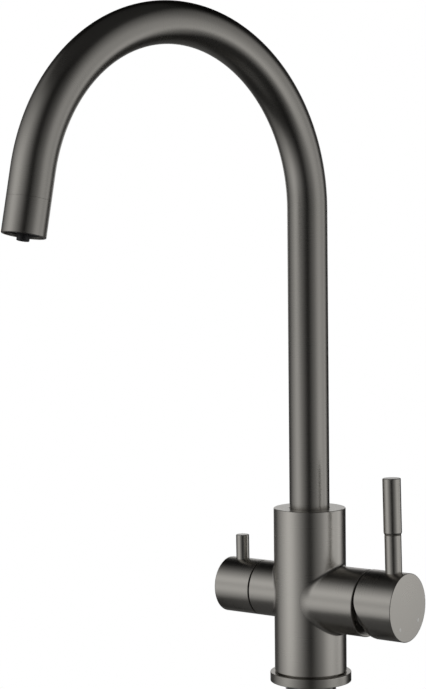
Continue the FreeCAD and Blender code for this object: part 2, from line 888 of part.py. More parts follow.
def make_driver():
    """The driver that the stem's ball pushes, pegged to the moving disc."""
    low = point(driver_x, -driver_w / 2, mixer_z - driver_l / 2)
    high = point(driver_x + driver_h, driver_w / 2, mixer_z + driver_l / 2)
    top = driver_x + driver_h
    socket_d = stem_ball_d + 2 * ball_play
    solid = block(low, high)
    for side in (driver_peg_up, -driver_peg_up):
        foot = point(0, 0, mixer_z + side)
        solid = solid.fuse(rod(driver_peg_d, driver_x - driver_peg_h / 2, driver_x, foot, along_x))
    socket = rod(socket_d, driver_x + ball_floor, top, mixer_axis, along_x)
    flare = block(
        point(top - driver_flare_h, -socket_d / 2, mixer_z - driver_flare),
        point(top, socket_d / 2, mixer_z + driver_flare),
    )
    return solid.cut([socket, flare])


def make_carrier():
    """The turning carrier: a round block with a slot for the driver and a fork for the stem."""
    solid = rod(carrier_d, carrier_x, carrier_end, mixer_axis, along_x)
    side = driver_w / 2 + swing_gap
    slot = block(
        point(carrier_x, -side, mixer_z - driver_l / 2 - swing_gap),
        point(driver_x + driver_h + swing_gap, side, mixer_z + carrier_d / 2),
    )
    fork = block(
        point(carrier_x, -fork_w / 2, mixer_z - fork_floor),
        point(carrier_end, fork_w / 2, mixer_z + carrier_d / 2),
    )
    hole = rod(pin_d, -carrier_d / 2, carrier_d / 2, point(pivot_x, 0, mixer_z), along_y)
    return solid.cut([slot, fork, hole])


def make_pivot_pin():
    """The cross pin that the stem swings on."""
    half = carrier_d / 2 - pin_end_gap
    return rod(pin_d, -half, half, point(pivot_x, 0, mixer_z), along_y)


def make_stem():
    """The stem: a square bar for the handle, a boss on the pin, and an arm with a ball."""
    half = stem_w / 2
    bar = block(point(pivot_x, -half, mixer_z - half), point(stem_end, half, mixer_z + half))
    boss_half = fork_w / 2 - swing_gap
    boss = rod(stem_boss_d, -boss_half, boss_half, point(pivot_x, 0, mixer_z), along_y)
    arm = rod(stem_arm_d, ball_x, pivot_x, mixer_axis, along_x)
    ball = Part.makeSphere(stem_ball_d / 2, point(ball_x, 0, mixer_z))
    hole = rod(pin_d + 2 * pin_run, -boss_half, boss_half, point(pivot_x, 0, mixer_z), along_y)
    return bar.fuse([boss, arm, ball]).cut(hole)


# Mixer handle


def lever_shape(diameter, low, high, at, centre_z, degrees):
    """A length of a lever: a leaning round bar between two heights."""
    bar = rod(diameter, low, high, point(at, 0, 0), along_z)
    return leaning(bar, at, centre_z, degrees)


def hub_rim_cut():
    """What is cut from the hub's rear: a thin gap above, and a slant for the swing below."""
    top_x = mixer_end + hub_top_gap
    low_x = mixer_end + hub_bottom_gap
    slope = (low_x - top_x) / (hub_d / 2)
    far = hub_d
    corners = [
        point(0, -far, mixer_z + far),
        point(top_x, -far, mixer_z + far),
        point(top_x, -far, mixer_z),
        point(top_x + slope * far, -far, mixer_z - far),
        point(0, -far, mixer_z - far),
    ]
    face = Part.Face(Part.makePolygon(corners + corners[:1]))
    return upright(face.extrude(point(0, 2 * far, 0)))


def hub_keel():
    """A bar round the hub, level with its lower half; the bar's rounded rear end is the heel."""
    rear_x = mixer_end + hub_top_gap
    radius = hub_d / 2
    turn = math.radians(hub_heel_from)
    out = radius * math.cos(turn)
    up = radius * math.sin(turn)
    spread = math.tan(-turn) * (hub_d - up)
    low = [point(rear_x, -out, mixer_z + up), point(rear_x, out, mixer_z + up)]
    high = [point(rear_x, -out - spread, mixer_z + hub_d), point(rear_x, out + spread, mixer_z + hub_d)]
    edges = [
        Part.Arc(low[0], point(rear_x, 0, mixer_z - radius), low[1]).toShape(),
        Part.makeLine(low[1], high[1]),
        Part.makeLine(high[1], high[0]),
        Part.makeLine(high[0], low[0]),
    ]
    bar = upright(Part.Face(Part.Wire(edges)).extrude(along_x * (hub_end - rear_x)))
    rear = [edge for edge in bar.Edges if abs(edge.BoundBox.XMax - rear_x) < 1e-6]
    return bar.makeFillet(hub_heel_r, [edge for edge in rear if edge.BoundBox.ZLength > 1e-6])


def make_hub():
    """The handle's hub: a cup over the cartridge's nose, solid where the lever goes in."""
    solid = rod(hub_d, mixer_end, hub_end, mixer_axis, along_x).common(hub_keel())
    solid = chamfered(solid, mixer_axis, along_x, hub_end, hub_d, edge_break)
    half = stem_w / 2 + fit_gap
    hub_top = mixer_z + hub_d / 2
    socket = block(
        point(hub_solid_x, -half, mixer_z - half),
        point(stem_end + fit_gap, half, mixer_z + half),
    )
    seat = hub_top - lever_sink
    cuts = [
        rod(hub_bore, 0, hub_solid_x, mixer_axis, along_x),
        hub_rim_cut(),
        socket,
        lever_shape(lever_d, seat, hub_top + lever_d, lever_at, mixer_z, lever_lean),
        lever_shape(lever_tenon_d, seat - lever_tenon, seat, lever_at, mixer_z, lever_lean),
        rod(handle_screw_d, 0, hub_d, point(handle_screw_at, 0, mixer_z), -along_z),
    ]
    return solid.cut(cuts + hub_dots())


def hub_dots():
    """Two small round marks near the hub face's edge, for warm and cold."""
    found = []
    for angle in dot_angles:
        turn = math.radians(angle)
        foot = point(0, dot_out * math.cos(turn), mixer_z + dot_out * math.sin(turn))
        found.append(rod(dot_d, hub_end - dot_depth, hub_end, foot, along_x))
    return found


def make_lever_rod():
    """The lever's rod: a tenon in the hub, the plain shank, and a core under the grip."""
    seat = mixer_z + hub_d / 2 - lever_sink
    outline = [
        (seat - lever_tenon, 0),
        (seat - lever_tenon, lever_tenon_d / 2),
        (seat, lever_tenon_d / 2),
        (seat, lever_d / 2),
        (lever_step - lever_seam, lever_d / 2),
        (lever_step, lever_d / 2 - lever_seam),
        (lever_step, lever_core_d / 2),
        (lever_top - lever_cap, lever_core_d / 2),
        (lever_top - lever_cap, 0),
    ]
    lever = turned(outline, point(lever_at, 0, 0), along_z)
    return leaning(lever, lever_at, mixer_z, lever_lean)


def make_lever_grip():
    """The thicker sleeve on the lever's upper half, tapered down to the rod at its foot."""
    radius = lever_grip_d / 2
    outline = [
        (lever_step, lever_core_d / 2),
        (lever_step, lever_d / 2 - lever_seam),
        (lever_step + lever_seam, lever_d / 2),
        (lever_step + lever_taper, radius),
        (lever_top - edge_break, radius),
        (lever_top, radius - edge_break),
        (lever_top, 0),
        (lever_top - lever_cap, 0),
        (lever_top - lever_cap, lever_core_d / 2),
    ]
    grip = turned(outline, point(lever_at, 0, 0), along_z)
    return leaning(grip, lever_at, mixer_z, lever_lean)


def make_handle_screw():
    """The screw under the hub that grips the stem."""
    foot = point(handle_screw_at, 0, mixer_z)
    start = hub_d / 2 - handle_screw_sunk
    return grub_screw(handle_screw_d, handle_screw_d / 2, -start, -stem_w / 2, foot, along_z)


# Filter valve


def make_valve_body():
    """The valve's brass housing, with its hexagon and side windows."""
    outer = valve_bore - 2 * fit_gap
    neck_end = valve_fixed_x + valve_neck
    outline = [
        (valve_fixed_x, valve_chamber_d / 2),
        (valve_fixed_x, valve_neck_d / 2),
        (neck_end, valve_neck_d / 2),
        (neck_end, outer / 2),
        (filter_end, outer / 2),
        (filter_end, spindle_d / 2 + swing_gap),
        (valve_chamber_end, spindle_d / 2 + swing_gap),
        (valve_chamber_end, valve_chamber_d / 2),
    ]
    solid = turned(outline, filter_axis, filter_way)
    nut = hexagon(valve_hex_flats, filter_end, filter_end + valve_hex_h, filter_axis, filter_way)
    nut = nut.cut(
        rod(
            spindle_d + 2 * swing_gap,
            filter_end,
            filter_end + valve_hex_h,
            filter_axis,
            filter_way,
        )
    )
    window = rod(
        valve_window_d,
        -valve_bore / 2,
        valve_bore / 2,
        point(-(valve_moving_x + valve_disc_t / 2), 0, filter_z),
        along_z,
    )
    half = valve_ring_wire / 2 + fit_gap
    groove = sleeve(
        outer + 1,
        valve_bore - 2 * valve_ring_wire,
        valve_ring_at - half,
        valve_ring_at + half,
        filter_axis,
        filter_way,
    )
    return solid.fuse(nut).cut([window, groove])


def make_valve_ring():
    """The seal ring between the valve's housing and its bore."""
    return ring(valve_bore - valve_ring_wire, valve_ring_wire, valve_ring_at, filter_axis, filter_way)


def make_valve_seal():
    """The seat seal at the inner end of the valve."""
    return sleeve(
        valve_neck_d, valve_seal_bore, filter_floor, valve_fixed_x, filter_axis, filter_way
    )


def valve_disc(start, angle):
    """A ceramic disc of the filter valve, with two ports across from each other."""
    stop = start + valve_disc_t
    solid = rod(valve_disc_d, start, stop, filter_axis, filter_way)
    cuts = []
    for turn in (angle, angle + 180):
        side = math.radians(turn)
        foot = point(
            0,
            valve_disc_port_out * math.cos(side),
            filter_z + valve_disc_port_out * math.sin(side),
        )
        cuts.append(rod(valve_disc_port, start, stop, foot, filter_way))
    return solid.cut(cuts)


def make_spindle():
    """The valve's spindle, from the moving disc out into the knob."""
    outline = [
        (spindle_x, 0),
        (spindle_x, valve_disc_d / 2),
        (spindle_x + spindle_flange_t, valve_disc_d / 2),
        (spindle_x + spindle_flange_t, spindle_d / 2),
        (spindle_end, spindle_d / 2),
        (spindle_end, 0),
    ]
    solid = turned(outline, filter_axis, filter_way)
    half = spindle_ring_wire / 2 + fit_gap
    floor_d = spindle_d + 2 * swing_gap - 2 * ring_squeeze - 2 * spindle_ring_wire
    groove = sleeve(
        spindle_d + 1,
        floor_d,
        spindle_ring_at - half,
        spindle_ring_at + half,
        filter_axis,
        filter_way,
    )
    return solid.cut(groove)


def make_spindle_ring():
    """The seal ring on the spindle."""
    major = spindle_d + 2 * swing_gap - 2 * ring_squeeze - spindle_ring_wire
    return ring(major, spindle_ring_wire, spindle_ring_at, filter_axis, filter_way)


def make_knob():
    """The filter knob: a cup over the valve's hexagon, solid where the pin goes in."""
    top = filter_z + filter_barrel_d / 2
    seat = top - pin_lever_sink
    solid = rod(filter_barrel_d, knob_start, knob_end, filter_axis, filter_way)
    solid = filleted(solid, filter_axis, filter_way, knob_end, filter_barrel_d, knob_round)
    hollow_d = filter_barrel_d - 2 * knob_wall
    cuts = [
        rod(hollow_d, knob_start, knob_start + knob_hollow, filter_axis, filter_way),
        rod(spindle_d + 2 * fit_gap, knob_start, spindle_end + fit_gap, filter_axis, filter_way),
        lever_shape(
            pin_lever_d, seat, top + pin_lever_d, -pin_lever_at, filter_z, pin_lever_lean
        ),
        lever_shape(
            pin_lever_tenon_d, seat - pin_lever_tenon, seat, -pin_lever_at, filter_z, pin_lever_lean
        ),
        rod(knob_screw_d, 0, filter_barrel_d, point(-pin_lever_at, 0, filter_z), -along_z),
    ]
    return solid.cut(cuts)


def make_pin_lever():
    """The short pin that turns the filter knob."""
    seat = filter_z + filter_barrel_d / 2 - pin_lever_sink
    radius = pin_lever_d / 2
    outline = [
        (seat - pin_lever_tenon, 0),
        (seat - pin_lever_tenon, pin_lever_tenon_d / 2),
        (seat, pin_lever_tenon_d / 2),
        (seat, radius),
        (pin_lever_top - edge_break, radius),
        (pin_lever_top, radius - edge_break),
        (pin_lever_top, 0),
    ]
    lever = turned(outline, point(-pin_lever_at, 0, 0), along_z)
    return leaning(lever, -pin_lever_at, filter_z, pin_lever_lean)


def make_knob_screw():
    """The screw under the knob that grips the spindle."""
    foot = point(-pin_lever_at, 0, filter_z)
    start = filter_barrel_d / 2 - knob_screw_sunk
    return grub_screw(knob_screw_d, knob_screw_d / 2, -start, -spindle_d / 2, foot, along_z)


rubber_washer, steel_washer, back_nut = make_clamp_set()

nodes = {
    "tap_body": make_body(),
    "base_ring": make_base_ring(),
    "base_seal": make_base_seal(),
    "mounting_shank": make_shank(),
    "rubber_washer": rubber_washer,
    "steel_washer": steel_washer,
    "back_nut": back_nut,
    "spout_keeper_screw": make_keeper_screw(),
    "filtered_spigot": make_spigot(),
    "spigot_o_ring": make_spigot_ring(),
    "cartridge_base": make_cartridge_base(),
    "cartridge_port_seals": make_port_seals(),
    "cartridge_fixed_disc": make_fixed_disc(),
    "cartridge_body": make_cartridge_body(),
    "cartridge_nut": make_cartridge_nut(),
    "cartridge_shroud": make_shroud(),
    "filter_valve_body": make_valve_body(),
    "filter_valve_o_ring": make_valve_ring(),
    "filter_seat_seal": make_valve_seal(),
    "filter_fixed_disc": valve_disc(valve_fixed_x, 0),
    "spout_tube": make_spout_tube(),
    "swivel_insert": make_insert(),
    "swivel_o_rings": make_swivel_rings(),
    "swivel_bushes": make_bushes(),
    "filtered_tube": make_inner_tube(),
    "filtered_ferrule": make_ferrule(),
    "outlet_collar": make_collar(),
    "aerator_insert": make_aerator(),
    "aerator_screen": make_screen(),
    "aerator_seal": make_aerator_seal(),
    "filtered_nozzle": make_nozzle(),
    "mixer_carrier": make_carrier(),
    "pivot_pin": make_pivot_pin(),
    "disc_driver": make_driver(),
    "moving_disc": make_moving_disc(),
    "cartridge_stem": make_stem(),
    "mixer_hub": make_hub(),
    "lever_rod": make_lever_rod(),
    "lever_grip": make_lever_grip(),
    "handle_grub_screw": make_handle_screw(),
    "warm_cold_dots": Part.makeCompound(hub_dots()),
    "filter_knob": make_knob(),
    "filter_pin": make_pin_lever(),
    "filter_spindle": make_spindle(),
    "spindle_o_ring": make_spindle_ring(),
    "filter_moving_disc": valve_disc(valve_moving_x, 90),
    "knob_grub_screw": make_knob_screw(),
}

os.makedirs("parts", exist_ok=True)
for name, shape in nodes.items():
    if not shape.isValid():
        print("not valid:", name)
    shape.exportStep("parts/" + name + ".step")
    print(name, len(shape.Solids), round(shape.Volume, 2))
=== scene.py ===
import json
import math

import bpy
import numpy as np
from mathutils import Matrix, Vector


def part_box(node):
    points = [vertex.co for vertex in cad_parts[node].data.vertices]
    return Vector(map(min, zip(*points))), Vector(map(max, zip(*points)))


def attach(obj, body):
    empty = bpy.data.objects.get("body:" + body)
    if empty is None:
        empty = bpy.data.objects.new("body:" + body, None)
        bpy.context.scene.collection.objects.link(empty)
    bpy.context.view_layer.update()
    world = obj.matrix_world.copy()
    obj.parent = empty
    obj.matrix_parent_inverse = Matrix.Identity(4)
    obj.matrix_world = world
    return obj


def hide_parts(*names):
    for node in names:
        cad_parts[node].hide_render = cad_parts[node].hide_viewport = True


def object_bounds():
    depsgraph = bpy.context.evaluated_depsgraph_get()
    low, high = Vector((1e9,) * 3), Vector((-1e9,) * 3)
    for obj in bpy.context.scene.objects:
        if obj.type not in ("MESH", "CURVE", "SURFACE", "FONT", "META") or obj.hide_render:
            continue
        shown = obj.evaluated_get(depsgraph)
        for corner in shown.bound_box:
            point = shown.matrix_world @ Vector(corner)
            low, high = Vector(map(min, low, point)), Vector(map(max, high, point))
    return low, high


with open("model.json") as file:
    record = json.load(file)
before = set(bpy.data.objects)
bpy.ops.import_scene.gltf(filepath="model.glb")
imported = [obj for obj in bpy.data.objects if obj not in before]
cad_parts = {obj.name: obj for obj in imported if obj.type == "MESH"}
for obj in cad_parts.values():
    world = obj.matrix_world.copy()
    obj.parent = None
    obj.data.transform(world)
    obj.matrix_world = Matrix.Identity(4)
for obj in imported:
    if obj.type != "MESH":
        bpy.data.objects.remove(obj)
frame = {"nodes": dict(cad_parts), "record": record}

cad_low, cad_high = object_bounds()

bl_info = {
    "name": "Kitchen mixer tap",
    "version": (1, 0, 0),
    "blender": (4, 5, 0),
    "location": "View3D > Sidebar > Tap",
    "description": "Surfaces, finishes and studio for a three-way kitchen mixer tap",
    "category": "Add Mesh",
}

MM = 0.001
# Edges that turn by more than this stay sharp
SHARP = math.radians(30.0)
# Faces round each rounded corner of an outline
ROUND_STEPS = 5
# How near to its ends a long run of an outline gets a point
SUPPORT = 0.3 * MM
# Pixels along the picture's long side, which the focal length is given in
PICTURE_LONG = 689.0
UP = Vector((0.0, 0.0, 1.0))
RIGHT = Vector((1.0, 0.0, 0.0))
LEFT = Vector((-1.0, 0.0, 0.0))


def low_of(node):
    """The lowest corner of a node of the frame."""
    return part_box(node)[0]


def high_of(node):
    """The highest corner of a node of the frame."""
    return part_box(node)[1]


def amount(title, text, value, **limits):
    """A number property."""
    return bpy.props.FloatProperty(name=title, description=text, default=value, **limits)


def length(title, text, value):
    """A length property, in metres."""
    return amount(title, text, value, min=0.0, precision=5, unit="LENGTH")


def place(title, text, value):
    """A coordinate property, in metres, of either sign."""
    return amount(title, text, value, precision=5, unit="LENGTH")


def share(title, text, value):
    """A property between nothing and one."""
    return amount(title, text, value, min=0.0, max=1.0, subtype="FACTOR")


def turn(title, text, degrees):
    """An angle property."""
    return amount(title, text, math.radians(degrees), subtype="ANGLE")


def paint(title, text, value):
    """A colour property."""
    return bpy.props.FloatVectorProperty(
        name=title, description=text, default=value, size=3, min=0.0, max=1.0, subtype="COLOR"
    )


class TapSizes(bpy.types.PropertyGroup):
    """Sizes and places of the tap's surfaces."""

    edge: length("Edge", "Radius on the body's turned edges", 0.45 * MM)
    column_radius: length("Column radius", "Half the column's diameter", 22.5 * MM)
    column_top: length("Column top", "Height of the column's top face", high_of("tap_body").z)
    swivel_radius: length("Swivel bore", "Radius of the bore that the spout turns in", 12.7 * MM)
    swivel_floor: length("Swivel floor", "Height of the swivel bore's floor", 76.0 * MM)
    ring_radius: length("Ring radius", "Half the base ring's diameter", high_of("base_ring").x)
    ring_top: length("Ring top", "Height of the base ring", high_of("base_ring").z)
    ring_bore: length("Ring bore", "Radius of the base ring's bore", 20.1 * MM)
    ring_hole: length("Ring floor hole", "Radius of the hole in the base ring's floor", 16.3 * MM)
    foot_radius: length("Foot radius", "Radius of the column's foot in the ring", 20.0 * MM)
    foot_low: length("Foot height", "Height of the foot's underside", low_of("tap_body").z)
    base_gap: length("Base gap", "Shadow gap between the base ring and the column", 0.8 * MM)
    junction: length("Junction", "Width of the ground joint between a barrel and the column", 2.6 * MM)
    junction_tip: length("Joint sides", "Width of the mixer barrel's joint at its sides", 6.5 * MM)
    mixer_height: length("Mixer height", "Height of the mixer's axis", 53.1 * MM)
    mixer_radius: length("Mixer barrel", "Radius of the mixer's barrel", 20.75 * MM)
    mixer_end: length("Mixer barrel end", "Where the mixer's barrel ends", 43.4 * MM)
    filter_height: length("Filter height", "Height of the filter valve's axis", 55.1 * MM)
    filter_radius: length("Filter barrel", "Radius of the filter barrel and knob", 17.4 * MM)
    filter_end: length("Filter barrel end", "Where the filter barrel ends", 35.1 * MM)
    hub_radius: length("Hub radius", "Radius of the mixer hub", 21.0 * MM)
    hub_end: length("Hub end", "Where the hub's face lies", high_of("mixer_hub").x)
    hub_gap: length("Hub gap", "Gap between the mixer's barrel and the hub's rim", 1.5 * MM)
    hub_gap_low: length("Hub gap below", "The same gap at the bottom, where the rim slants", 5.0 * MM)
    heel: length("Hub heel", "Radius of the hub's rounded lower rear edge", 8.5 * MM)
    heel_from: turn("Heel begins", "Where on each side the heel's rounding starts to fade", -35.0)
    knob_gap: length("Knob gap", "Gap between the filter barrel and its knob", 0.8 * MM)
    lever_at: length("Lever place", "Where the lever stands on the hub", 61.5 * MM)
    lever_lean: turn("Lever lean", "How far the lever leans to the column", 1.2)
    pin_at: length("Pin place", "Where the pin stands on the filter knob", 51.6 * MM)
    pin_lean: turn("Pin lean", "How far the pin leans out", 0.5)
    tube_radius: length("Tube radius", "Half the spout tube's diameter", 12.5 * MM)
    tube_wall: length("Tube wall", "Wall of the spout's tube", 1.5 * MM)
    bend_start: length("Bend start", "Height where the spout starts to bend", 295.0 * MM)
    bend_radius: length("Bend radius", "Radius of the spout's bend", 107.5 * MM)
    bend_sweep: turn("Bend sweep", "How far the spout bends", 168.7)
    outlet_run: length("Outlet run", "Straight length after the bend", 36.6 * MM)
    collar: length("Collar", "Length of the outlet's collar", 20.4 * MM)
    nozzle_radius: length("Nozzle radius", "Half the filtered water nozzle's diameter", 3.6 * MM)
    nozzle_proud: length("Nozzle proud", "How far the nozzle stands out of the rim", 2.9 * MM)
    swing: turn("Spout swing", "How far the spout is swung from the front", -10.5)
    shank_radius: length("Shank radius", "Outer radius of the mounting shank", 16.0 * MM)
    shank_bore: length("Shank bore", "Inner radius of the mounting shank", 13.5 * MM)
    thread_pitch: length("Thread pitch", "Pitch of the shank's thread", 1.5 * MM)


class TapFinish(bpy.types.PropertyGroup):
    """Colours and roughness of the tap's finishes, and the painted light that makes some of the
    gunmetal lighter.
    """

    metal: paint("Gunmetal", "Colour of the brushed gunmetal", (0.40, 0.385, 0.357))
    metal_rough: share("Gunmetal roughness", "Mean roughness of the gunmetal", 0.28)
    # Painted light: the turned pieces get a lighter copy of the gunmetal, which stands in for brighter
    # light on them
    turned_painted_light: amount("Turned lift", "How much lighter the turned pieces are than the tube", 1.16)
    # Painted highlight: the hub's faced end is made lighter again
    face_painted_highlight: amount("Face lift", "How much lighter again the hub's faced end is", 1.3)
    # Painted highlight: the column's colour goes this share of the way to the face's lighter one
    column_painted_highlight: share("Column finish", "How far the column's finish goes to the faced end's", 0.7)
    edge_tint: share("Edge tint", "How much light the metal keeps at a grazing angle", 0.85)
    brass: paint("Brass", "Colour of the machined brass", (0.72, 0.53, 0.28))
    steel: paint("Steel", "Colour of the plain steel", (0.56, 0.56, 0.57))
    rubber: paint("Rubber", "Colour of the seals and washers", (0.025, 0.025, 0.026))
    white: paint("White plastic", "Colour of the cartridge's plastic", (0.78, 0.77, 0.74))
    dark: paint("Dark plastic", "Colour of the aerator's plastic", (0.035, 0.035, 0.038))
    blue: paint("Inner tube", "Colour of the filtered water's tube", (0.42, 0.55, 0.70))
    ceramic: paint("Ceramic", "Colour of the valve discs", (0.88, 0.86, 0.82))
    marks: paint("Marks", "Colour of the two bright marks on the hub's face", (0.80, 0.79, 0.76))


class StudioSettings(bpy.types.PropertyGroup):
    """The camera's place and the studio's light."""

    focal: amount("Focal length", "Focal length, in pixels of the picture's long side", 1919.363)
    azimuth: turn("Azimuth", "Where the camera stands round the column", 36.681)
    distance: length("Distance", "Level distance from the column's axis", 1192.3 * MM)
    aside: place("Aside", "The camera's sideways offset", -59.285 * MM)
    height: length("Height", "Height of the camera", 278.59 * MM)
    pitch: turn("Pitch", "How far the camera looks down", 3.216)
    roll: turn("Roll", "The camera's roll", -0.605)
    tent_radius: length("Tent radius", "Radius of the light tent round the tap", 1.5)
    tent_low: place("Tent foot", "Height of the tent's lower edge", -1.6)
    tent_high: place("Tent top", "Height of the tent's upper edge", 2.6)
    tent_level: amount("Tent level", "Radiance where the tent's banks say 1, which is white", 1.0)
    fill: share("Fill", "Radiance of the room beyond the tent", 0.03)
    floor_radius: length("Floor radius", "Radius of the pale disc that the tap stands on", 0.13)
    floor_ahead: length("Floor ahead", "How far the disc's middle lies before the column", 0.06)
    floor_tone: share("Floor tone", "How much light the floor throws back", 0.30)
    floor_mirror: share("Floor in the metal", "Radiance of the floor as the metal mirrors it", 0.035)


class Socket:
    """A shader socket whose operators add Math nodes."""

    def __init__(self, tree, socket):
        self.tree = tree
        self.socket = socket

    def math(self, operation, first, second=0.0):
        return self.tree.node(
            "ShaderNodeMath", "Value", {"operation": operation}, {"Value": first, "Value_001": second}
        )

    def __add__(self, other):
        return self.math("ADD", self, other)

    def __radd__(self, other):
        return self.math("ADD", other, self)

    def __sub__(self, other):
        return self.math("SUBTRACT", self, other)

    def __rsub__(self, other):
        return self.math("SUBTRACT", other, self)

    def __mul__(self, other):
        return self.math("MULTIPLY", self, other)

    def __rmul__(self, other):
        return self.math("MULTIPLY", other, self)


class Tree:
    """The node tree of one material or world."""

    def __init__(self, owner):
        owner.use_nodes = True
        self.owner = owner
        self.tree = owner.node_tree
        self.tree.nodes.clear()

    def node(self, kind, output, settings=None, inputs=None):
        """Adds a node, sets it up, feeds its sockets and returns one of its outputs.

        Each setting is one of the node's own, or a ramp's stops as (position, level)."""
        made = self.tree.nodes.new(kind)
        for key, value in (settings or {}).items():
            if key == "stops":
                self.set_stops(made.color_ramp.elements, value)
            else:
                setattr(made, key, value)
        for key, value in (inputs or {}).items():
            self.feed(self.find(made.inputs, key), value)
        return Socket(self, self.find(made.outputs, output)) if output else made

    def set_stops(self, elements, stops):
        """Gives a ramp its stops, in levels of grey."""
        while len(elements) < len(stops):
            elements.new(1.0)
        for element, (position, level) in zip(elements, stops):
            element.position = position
            element.color = (level, level, level, 1.0)

    def find(self, sockets, key):
        """The socket with that identifier or name."""
        for socket in sockets:
            if socket.identifier == key:
                return socket
        return sockets[key]

    def feed(self, socket, value):
        """Links a socket, or sets its own value."""
        if isinstance(value, Socket):
            self.tree.links.new(value.socket, socket)
        elif hasattr(socket.default_value, "__len__") and len(socket.default_value) > len(value):
            socket.default_value = tuple(value) + (1.0,)
        else:
            socket.default_value = value

    def scaled(self, vector, sizes):
        """A vector times three numbers."""
        inputs = {"Vector": vector, "Vector_001": sizes}
        return self.node("ShaderNodeVectorMath", "Vector", {"operation": "MULTIPLY"}, inputs)

    def noise(self, vector, sizes, detail, rough):
        """Smooth noise from 0 to 1, stretched by three numbers."""
        where = self.scaled(vector, sizes)
        inputs = {"Vector": where, "Scale": 1.0, "Detail": detail, "Roughness": rough}
        return self.node("ShaderNodeTexNoise", "Fac", {"noise_dimensions": "3D"}, inputs)

    def blend(self, factor, first, second):
        """A mix of two colours."""
        inputs = {"Factor_Float": factor, "A_Color": first, "B_Color": second}
        return self.node("ShaderNodeMix", "Result_Color", {"data_type": "RGBA"}, inputs)

    def ramp(self, value, low, high, stops):
        """The level that a profile of stops, each (where, level), gives a value from low to high."""
        span = high - low
        placed = [((where - low) / span, level) for where, level in stops]
        inputs = {"Fac": (value - low) * (1.0 / span)}
        return self.node("ShaderNodeValToRGB", "Color", {"stops": placed}, inputs)

    def bump(self, height, strength, distance):
        """A normal bent by a height."""
        inputs = {"Height": height, "Strength": strength, "Distance": distance}
        return self.node("ShaderNodeBump", "Normal", None, inputs)

    def output(self, shader, kind="ShaderNodeOutputMaterial"):
        """Ends the tree in a shader, and gives back the tree's material or world."""
        self.node(kind, None, None, {"Surface": shader})
        return self.owner

    def surface(self, inputs):
        """The material, finished with one Principled shader."""
        return self.output(self.node("ShaderNodeBsdfPrincipled", "BSDF", None, inputs))


def tint(colour, factor):
    """A colour made darker or lighter."""
    return tuple(min(1.0, part * factor) for part in colour)


def varied(mean, *parts):
    """A mean that noises swing; each part is (noise, how far it swings the mean in all)."""
    for noise, swing in parts:
        mean = mean + (noise - 0.5) * swing
    return mean


def gunmetal_skin(name, along, across, lift):
    """Satin gunmetal, brushed round the piece by the grain that its points carry.

    Three noises share the change of tone and of roughness: fine lines, broad lines and clouds. Along
    and across scale the lines. The metal's colour is made lighter by lift, which is painted light, and
    lighter again by the face's painted highlight where the points' bright attribute is 1."""
    finish = bpy.context.scene.tap_finish
    tree = Tree(bpy.data.materials.new(name))
    grain = tree.node("ShaderNodeAttribute", "Vector", {"attribute_name": "grain"})
    fine = tree.noise(grain, (along, along, across), detail=3.0, rough=0.6)
    broad_sizes = (along * 0.5, along * 0.5, across * 0.12)
    broad = tree.noise(grain, broad_sizes, detail=2.0, rough=0.5)
    cloud = tree.noise(grain, (38.0,) * 3, detail=3.0, rough=0.55)
    rough = varied(finish.metal_rough, (fine, 0.03), (broad, 0.02), (cloud, 0.03))
    tone = varied(0.5, (fine, 0.5), (broad, 0.25), (cloud, 0.25))
    # Painted light: lift makes this whole skin lighter
    colour = tree.blend(tone, tint(finish.metal, 0.97 * lift), tint(finish.metal, 1.03 * lift))
    # Painted highlight: where the points' bright attribute is 1 the colour goes to the face's lighter
    # one
    bright = tree.node("ShaderNodeAttribute", "Fac", {"attribute_name": "bright"})
    colour = tree.blend(bright, colour, tint(finish.metal, finish.face_painted_highlight * lift))
    normal = tree.bump(fine, strength=0.03, distance=0.02 * MM)
    return tree.surface(
        {
            "Base Color": colour,
            "Metallic": 1.0,
            "Roughness": rough,
            "Specular Tint": (finish.edge_tint,) * 3,
            "Normal": normal,
        }
    )


def plain_metal(name, colour, rough, scale):
    """A machined metal with fine tool marks of that scale along z, and faint stains."""
    tree = Tree(bpy.data.materials.new(name))
    where = tree.node("ShaderNodeTexCoord", "Object")
    marks = tree.noise(where, (90.0, 90.0, scale), detail=3.0, rough=0.6)
    stain = tree.noise(where, (70.0,) * 3, detail=4.0, rough=0.6)
    return tree.surface(
        {
            "Base Color": tree.blend(stain, tint(colour, 0.82), tint(colour, 1.1)),
            "Metallic": 1.0,
            "Roughness": varied(rough, (marks, 0.16), (stain, 0.1)),
            "Normal": tree.bump(marks, strength=0.15, distance=0.03 * MM),
        }
    )


def moulded(name, colour, rough, grit):
    """Moulded plastic, rubber or ceramic with a faint surface grit."""
    tree = Tree(bpy.data.materials.new(name))
    where = tree.node("ShaderNodeTexCoord", "Object")
    cloud = tree.noise(where, (110.0,) * 3, detail=3.0, rough=0.5)
    grains = tree.noise(where, (2600.0,) * 3, detail=2.0, rough=0.5)
    return tree.surface(
        {
            "Base Color": tree.blend(cloud, tint(colour, 0.88), tint(colour, 1.08)),
            "Metallic": 0.0,
            "Roughness": varied(rough, (grains, grit)),
            "Normal": tree.bump(grains, strength=grit, distance=0.03 * MM),
        }
    )


MATERIALS = {}
